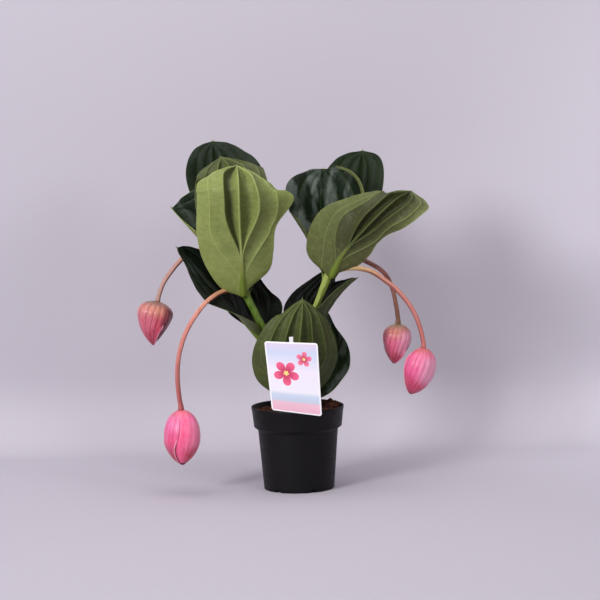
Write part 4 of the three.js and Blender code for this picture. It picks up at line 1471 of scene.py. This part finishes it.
# %% Make the pot
POT_HEIGHT, POT_COLLAR_H, POT_STEP_H = 126, 30.5, 5.4
POT_RIM_R, POT_COLLAR_R, POT_SHOULDER_R, POT_BASE_R = 70, 66.4, 60.5, 53
POT_WALL, POT_FLOOR = 1.8, 3.7
POT_TURN_STEPS = 144
NOTCHES, NOTCH_SIZE, NOTCH_TURN = 6, (9, 14, 8), 22.8
COLLAR_LOW = POT_HEIGHT - POT_COLLAR_H
SHOULDER = COLLAR_LOW - POT_STEP_H
POT_OUTSIDE = [
    (20, 0), (22, 1.2), (43, 1.2), (45, 0), (POT_BASE_R - 1.5, 0), (POT_BASE_R - 0.4, 0.4),
    (POT_BASE_R, 1.5), (POT_BASE_R + 0.5, 6), (POT_SHOULDER_R - 0.2, SHOULDER - 2),
    (POT_SHOULDER_R, SHOULDER), (POT_SHOULDER_R + 0.7, SHOULDER + 1.2),
    (POT_COLLAR_R - 0.9, COLLAR_LOW - 0.9), (POT_COLLAR_R, COLLAR_LOW),
    (POT_COLLAR_R + 0.15, COLLAR_LOW + 1.2), (POT_RIM_R - 0.9, POT_HEIGHT - 6),
    (POT_RIM_R - 0.5, POT_HEIGHT - 5.2), (POT_RIM_R, POT_HEIGHT - 0.8), (POT_RIM_R - 0.25, POT_HEIGHT - 0.2),
    (POT_RIM_R - 0.8, POT_HEIGHT)]
POT_INSIDE = [
    (POT_RIM_R - POT_WALL + 0.4, POT_HEIGHT), (POT_RIM_R - POT_WALL, POT_HEIGHT - 0.5),
    (POT_COLLAR_R - POT_WALL, COLLAR_LOW), (POT_SHOULDER_R - POT_WALL, SHOULDER),
    (POT_BASE_R - POT_WALL, POT_FLOOR)]


def make_pot_material():
    material, tree, shader = new_material("pot_plastic", specular=0.2)
    place = object_place(tree)
    scuffs = speckle(tree, stretched(tree, place, (60, 60, 300)), 1, 5, 0.65)
    dust = speckle(tree, place, 420, 4)
    grain = speckle(tree, place, 1500)
    foot = step(tree, split(tree, place)["Z"], 2 * MM, 40 * MM, 1, 0)
    worn = calc(tree, "MULTIPLY", step(tree, scuffs, 0.55, 0.72), calc(tree, "ADD", foot, 0.25))
    colour = paint(
        tree, rgb(9, 8, 10),
        (worn, 0.25, rgb(56, 52, 54)),
        (step(tree, dust, 0.64, 0.78), 0.2, rgb(74, 62, 54)))
    finish_material(tree, shader, colour, step(tree, scuffs, 0.3, 0.8, 0.42, 0.62), grain, 0.05 * MM)
    return material


def cut_notches(piece):
    """Cuts the drain notches with six boxes, then leaves them out of the scene."""
    bm = bmesh.new()
    for k in range(NOTCHES):
        made = bmesh.ops.create_cube(bm, size=1)["verts"]
        bmesh.ops.scale(bm, vec=Vector(NOTCH_SIZE) * MM, verts=made)
        bmesh.ops.translate(bm, vec=(0, -POT_BASE_R * MM, 0), verts=made)
        turn = Matrix.Rotation(math.radians(NOTCH_TURN + k * 360 / NOTCHES), 3, "Z")
        bmesh.ops.rotate(bm, cent=(0, 0, 0), matrix=turn, verts=made)
    boxes = add_object("notch_boxes", to_mesh("notch_boxes", bm))
    cut = piece.modifiers.new("notches", "BOOLEAN")
    cut.operation = "DIFFERENCE"
    cut.object = boxes
    bpy.context.view_layer.update()
    cut_mesh = bpy.data.meshes.new_from_object(piece.evaluated_get(bpy.context.evaluated_depsgraph_get()))
    piece.modifiers.clear()
    piece.data = cut_mesh
    bpy.data.objects.remove(boxes)


def make_pot():
    bm = bmesh.new()
    profile = [bm.verts.new((r * MM, 0, z * MM)) for r, z in POT_OUTSIDE + POT_INSIDE]
    edges = [bm.edges.new(pair) for pair in zip(profile, profile[1:])]
    bmesh.ops.spin(bm, geom=profile + edges, cent=(0, 0, 0), axis=(0, 0, 1), angle=2 * math.pi,
                   steps=POT_TURN_STEPS, use_merge=True)
    bmesh.ops.holes_fill(bm, edges=[e for e in bm.edges if e.is_boundary], sides=0)
    bmesh.ops.recalc_face_normals(bm, faces=bm.faces)
    piece = finish_piece("pot", bm, [make_pot_material()], "pot")
    cut_notches(piece)
    piece.data.set_sharp_from_angle(angle=math.radians(35))
    return piece


print(count(make_pot()))

# %% [markdown]
# ## The soil
# Potting soil is peat and bark in crumbs of all sizes. A lumpy surface fills the pot, a little heaped
# towards the back on the right, and some hundreds of crumbs and bark chips lie on it, strewn by a
# seeded draw.

# %% Make the soil
SOIL_TOP = 118
SOIL_EDGE_R = 67.0
HEAP = {"x": 49, "y": 26, "height": 9.5, "spread": 500}
SOIL_COLUMNS, SOIL_ROWS = 150, 90
SOIL_SWELL = 1.5
SOIL_ROUGHNESS = [{"height": 1.7, "size": 7, "layer": 5}, {"height": 1.1, "size": 2.6, "layer": 9}]
SOIL_TOP_SHARE = 0.8  # how much of the grid lies on top; the rest is the side along the wall
SOIL_SIDE_DROP = 4
SOIL_BOTTOM = POT_FLOOR + 0.4
SOIL_INSET = 3.4  # from the outside of the pot
CRUMBS = 700
CRUMB_SIZES = (0.7, 3.0)
CRUMB_SQUASH = (1, 0.8, 0.7)
CHIPS = 60
CHIP_SIZES = (2.2, 4.4)
CHIP_SQUASH = (1, 0.5, 0.35)
LUMP_SQUASH = (1, 0.8, 0.8)
LUMPS = [(50, 33, 4.2), (60, 18, 3.6), (38, 47, 3.4), (63, 6, 3.0), (44, 40, 2.8), (57, 26, 3.0)]


def soil_height(x, y):
    heap = HEAP["height"] * math.exp(-((x - HEAP["x"]) ** 2 + (y - HEAP["y"]) ** 2) / HEAP["spread"])
    swell = SOIL_SWELL * math.sin(x * 0.31 + 1.3) * math.sin(y * 0.37 + 0.4)
    lumps = sum(kind["height"] * noise.noise(Vector((x, y, kind["layer"])) / kind["size"])
                for kind in SOIL_ROUGHNESS)
    return SOIL_TOP + heap + swell + lumps


def soil_point(turn, t):
    """t runs from the middle of the top out to the wall, then down to the pot's floor."""
    angle = 2 * math.pi * turn
    if t < SOIL_TOP_SHARE:
        r = SOIL_EDGE_R * t / SOIL_TOP_SHARE
        x, y = r * math.cos(angle), r * math.sin(angle)
        return Vector((x, y, soil_height(x, y))) * MM
    down = (t - SOIL_TOP_SHARE) / (1 - SOIL_TOP_SHARE)
    start = SOIL_TOP - SOIL_SIDE_DROP
    z = start - down * (start - SOIL_BOTTOM)
    radii = [POT_BASE_R, POT_SHOULDER_R, POT_COLLAR_R, POT_RIM_R]
    r = spline([0, SHOULDER, COLLAR_LOW, POT_HEIGHT], radii, z) - SOIL_INSET
    return Vector((r * math.cos(angle), r * math.sin(angle), z)) * MM


def make_soil_material():
    material, tree, shader = new_material("soil_crumb", specular=0.15)
    place = object_place(tree)
    patches = speckle(tree, place, 130, 4)
    fine = speckle(tree, place, 900, 4)
    peat = ramp(tree, patches, [(0.34, rgb(30, 19, 16)), (0.5, rgb(70, 40, 30)), (0.68, rgb(118, 72, 52))])
    colour = paint(
        tree, peat,
        (step(tree, fine, 0.62, 0.74), 0.5, rgb(150, 108, 84)),
        (step(tree, fine, 0.45, 0.3), 0.6, rgb(24, 15, 12)))
    finish_material(tree, shader, colour, step(tree, patches, 0.3, 0.7, 0.85, 1.0), fine, 0.6 * MM)
    return material


def strew(bm, draw, size, squash, at=None):
    """One crumb: a rough ball, squashed, turned and set on the soil."""
    r = (SOIL_EDGE_R - 2.5) * math.sqrt(draw.random())
    angle = draw.uniform(0, 2 * math.pi)
    x, y = at or (r * math.cos(angle), r * math.sin(angle))
    made = bmesh.ops.create_icosphere(bm, subdivisions=1, radius=size * MM)["verts"]
    for v in made:
        v.co *= draw.uniform(0.75, 1.25)
    bmesh.ops.scale(bm, vec=squash, verts=made)
    turn = Euler([draw.uniform(0, 6.28) for _ in range(3)]).to_matrix()
    bmesh.ops.rotate(bm, cent=(0, 0, 0), matrix=turn, verts=made)
    bmesh.ops.translate(bm, vec=Vector((x, y, soil_height(x, y) + 0.3 * size)) * MM, verts=made)


def make_soil():
    draw = random.Random(7)
    bm = start_mesh("soil_map")
    spots = make_grid(bm, SOIL_COLUMNS, SOIL_ROWS)
    for v, (across, along) in spots.items():
        v.co = soil_point((across + 1) / 2, along)
    close_tube(bm, spots, "soil_map")
    bmesh.ops.recalc_face_normals(bm, faces=bm.faces)
    for _ in range(CRUMBS):
        strew(bm, draw, draw.uniform(*CRUMB_SIZES) * draw.uniform(0.5, 1), CRUMB_SQUASH)
    for _ in range(CHIPS):
        strew(bm, draw, draw.uniform(*CHIP_SIZES), CHIP_SQUASH)
    for x, y, size in LUMPS:
        strew(bm, draw, size, LUMP_SQUASH, (x, y))
    piece = finish_piece("soil", bm, [make_soil_material()], "soil")
    piece.data.set_sharp_from_angle(angle=math.radians(50))
    return piece


print(count(make_soil()))

# %% [markdown]
# ## The label
# A glossy printed card on a white plastic stake tells a shop's customer what grows in the pot. The
# card bows a little to the front and leans on the front leaf. It is a thin sheet between its four
# corners, which are drawn in to arcs as a punch cuts them.

# %% The form of the card
CARD_CORNERS = [(-38, -65, 129.5), (36, -82, 121), (32, -85, 230.5), (-47, -70, 233.5)]
CARD_HALF = 0.3
CARD_BOW = 2.5
CARD_BOW_HIGH = 0.8  # the bow is fullest a little above the middle
CARD_ROUND = 4.0
CARD_SIZE = (77.0, 108.0)
CARD_SHAPE = CARD_SIZE[1] / CARD_SIZE[0]
CARD_COLUMNS, CARD_ROWS = 77, 108


def round_corner(s, t):
    """Draws the card's four corners in to arcs; s and t run from 0 to 1 over the card."""
    wide, high = CARD_SIZE
    x, y = abs(s - 0.5) * wide - (wide / 2 - CARD_ROUND), abs(t - 0.5) * high - (high / 2 - CARD_ROUND)
    if x <= 0 or y <= 0:
        return s, t
    a, b = x / CARD_ROUND, y / CARD_ROUND
    x_in, y_in = a * math.sqrt(1 - b * b / 2), b * math.sqrt(1 - a * a / 2)
    reach_x = (wide / 2 - CARD_ROUND + x_in * CARD_ROUND) / wide
    reach_y = (high / 2 - CARD_ROUND + y_in * CARD_ROUND) / high
    return 0.5 + math.copysign(reach_x, s - 0.5), 0.5 + math.copysign(reach_y, t - 0.5)


def card_point(across, along):
    s, t = round_corner((across + 1) / 2, along)
    low_left, low_right, high_right, high_left = to_metres(CARD_CORNERS)
    point = low_left.lerp(low_right, s).lerp(high_left.lerp(high_right, s), t)
    point.y -= CARD_BOW * MM * math.sin(math.pi * s) * math.sin(math.pi * t * CARD_BOW_HIGH)
    return point


print("card in millimetres:", CARD_SIZE)

# %% [markdown]
# The print is a plain design of two blossoms over soft bands of colour. It is drawn by sums on the
# card's own two coordinates: a petal's reach is a cosine of the angle round the blossom's heart.

# %% The print on the card
BLOSSOMS = [
    {"at": (0.36, 0.56), "size": 0.25, "turn": 0.3, "tone": (244, 96, 140)},
    {"at": (0.72, 0.77), "size": 0.15, "turn": 1.1, "tone": (250, 128, 164)},
]
HEART_SHARE = 0.22


def make_blossom_group():
    """A mask for a five-petalled blossom and one for its shading from the middle outwards."""
    group, inputs, outputs = new_group(
        "blossom", [("Across", "Float"), ("Up", "Float"), ("At X", "Float"), ("At Y", "Float"),
                    ("Size", "Float"), ("Turn", "Float")], [("Mask", "Float"), ("Shade", "Float")])
    dx = calc(group, "SUBTRACT", inputs["Across"], inputs["At X"])
    dy = calc(group, "SUBTRACT", inputs["Up"], inputs["At Y"])
    dy = calc(group, "MULTIPLY", dy, CARD_SHAPE)
    distance = calc(group, "SQRT", calc(group, "ADD", calc(group, "MULTIPLY", dx, dx),
                                        calc(group, "MULTIPLY", dy, dy)))
    angle = calc(group, "ADD", calc(group, "ARCTAN2", dy, dx), inputs["Turn"])
    petal = calc(group, "ABSOLUTE", calc(group, "COSINE", calc(group, "MULTIPLY", angle, 2.5)))
    reach = calc(group, "MULTIPLY", inputs["Size"], calc(group, "ADD", 0.35, calc(group, "MULTIPLY",
                 calc(group, "POWER", petal, 0.6), 0.65)))
    share = calc(group, "DIVIDE", distance, reach)
    feed(group, outputs["Mask"], step(group, share, 0.97, 1.03, 1, 0))
    feed(group, outputs["Shade"], calc(group, "MULTIPLY", step(group, share, 0, 1),
                                       calc(group, "ADD", 0.5, calc(group, "MULTIPLY", petal, 0.5))))
    return group


def blossom_masks(tree, group, across, up, blossom, size):
    return use_group(tree, group, Across=across, Up=up, **{
        "At X": blossom["at"][0], "At Y": blossom["at"][1], "Size": size, "Turn": blossom["turn"]})


def make_card_print():
    material, tree, shader = new_material("card_print", coat=0.3, specular=0.5)
    place = split(tree, uv_place(tree, "card"))
    across, up = place["X"], place["Y"]
    sky = ramp(tree, up, [(0.0, rgb(232, 176, 196)), (0.14, rgb(236, 190, 206)), (0.17, rgb(196, 206, 226)),
                          (0.25, rgb(202, 214, 234)), (0.3, rgb(240, 236, 246)), (0.6, rgb(240, 232, 246)),
                          (0.85, rgb(206, 214, 238)), (1.0, rgb(226, 208, 230))])
    group = make_blossom_group()
    colour = sky
    for blossom in BLOSSOMS:
        petals = blossom_masks(tree, group, across, up, blossom, blossom["size"])
        heart = blossom_masks(tree, group, across, up, blossom, blossom["size"] * HEART_SHARE)
        petal_tint = mix(tree, petals["Shade"], rgb(190, 36, 84), rgb(*blossom["tone"]))
        colour = mix(tree, petals["Mask"], colour, petal_tint)
        colour = mix(tree, heart["Mask"], colour, rgb(250, 220, 130))
    from_side = calc(tree, "MINIMUM", across, inverse(tree, across))
    from_end = calc(tree, "MULTIPLY", calc(tree, "MINIMUM", up, inverse(tree, up)), CARD_SHAPE)
    border = step(tree, calc(tree, "MINIMUM", from_side, from_end), 0.024, 0.032, 1, 0)
    colour = mix(tree, border, colour, rgb(250, 247, 250))
    fibre = speckle(tree, object_place(tree), 1200)
    finish_material(tree, shader, colour, step(tree, fibre, 0.3, 0.7, 0.32, 0.44), fibre, 0.02 * MM)
    return material


def make_white_plastic():
    material, tree, shader = new_material("stake_plastic", specular=0.5)
    place = object_place(tree)
    cloud = speckle(tree, place, 160)
    colour = mix(tree, cloud, rgb(238, 236, 238), rgb(224, 222, 226))
    roughness = step(tree, cloud, 0.3, 0.7, 0.3, 0.45)
    finish_material(tree, shader, colour, roughness, speckle(tree, place, 1400), 0.03 * MM)
    return material


white_plastic = make_white_plastic()
bm = start_mesh("card")
front, back = thin_sheet(bm, CARD_COLUMNS, CARD_ROWS, card_point,
                         everywhere(CARD_HALF), everywhere(CARD_HALF))
write_uv(bm, {**front, **back}, "card")
print(count(finish_piece("label_card", bm, [make_card_print(), white_plastic], "label_card")))

# %% [markdown]
# The stake is a moulded strip with rounded edges, pushed into the soil behind the card. It is a box,
# drawn out to its length, bevelled, and turned to the line from its foot to its top.

# %% Make the stake
STAKE_W, STAKE_T = 6, 1.6
STAKE_ROUND = 0.5
STAKE_TOP, STAKE_FOOT = (-7, -78, 240), (-4, -58.5, 97)

bm = bmesh.new()
top, foot = (Vector(p) * MM for p in (STAKE_TOP, STAKE_FOOT))
run = top - foot
strip = bmesh.ops.create_cube(bm, size=1)["verts"]
bmesh.ops.scale(bm, vec=(STAKE_W * MM, STAKE_T * MM, run.length), verts=strip)
bmesh.ops.bevel(bm, geom=bm.edges[:], offset=STAKE_ROUND * MM, segments=3, profile=0.5,
                affect="EDGES", material=-1)
turn = Vector((0, 0, 1)).rotation_difference(run)
bmesh.ops.rotate(bm, cent=(0, 0, 0), matrix=turn.to_matrix(), verts=bm.verts)
bmesh.ops.translate(bm, vec=foot + run / 2, verts=bm.verts)
print(count(finish_piece("label_stake", bm, [white_plastic], "label_stake")))

# %% Write the sizes and finish
dressed_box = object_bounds()
for name, box in (("packed", cad_box), ("dressed", dressed_box)):
    print(name, [round(high - low, 4) for low, high in zip(*box)])
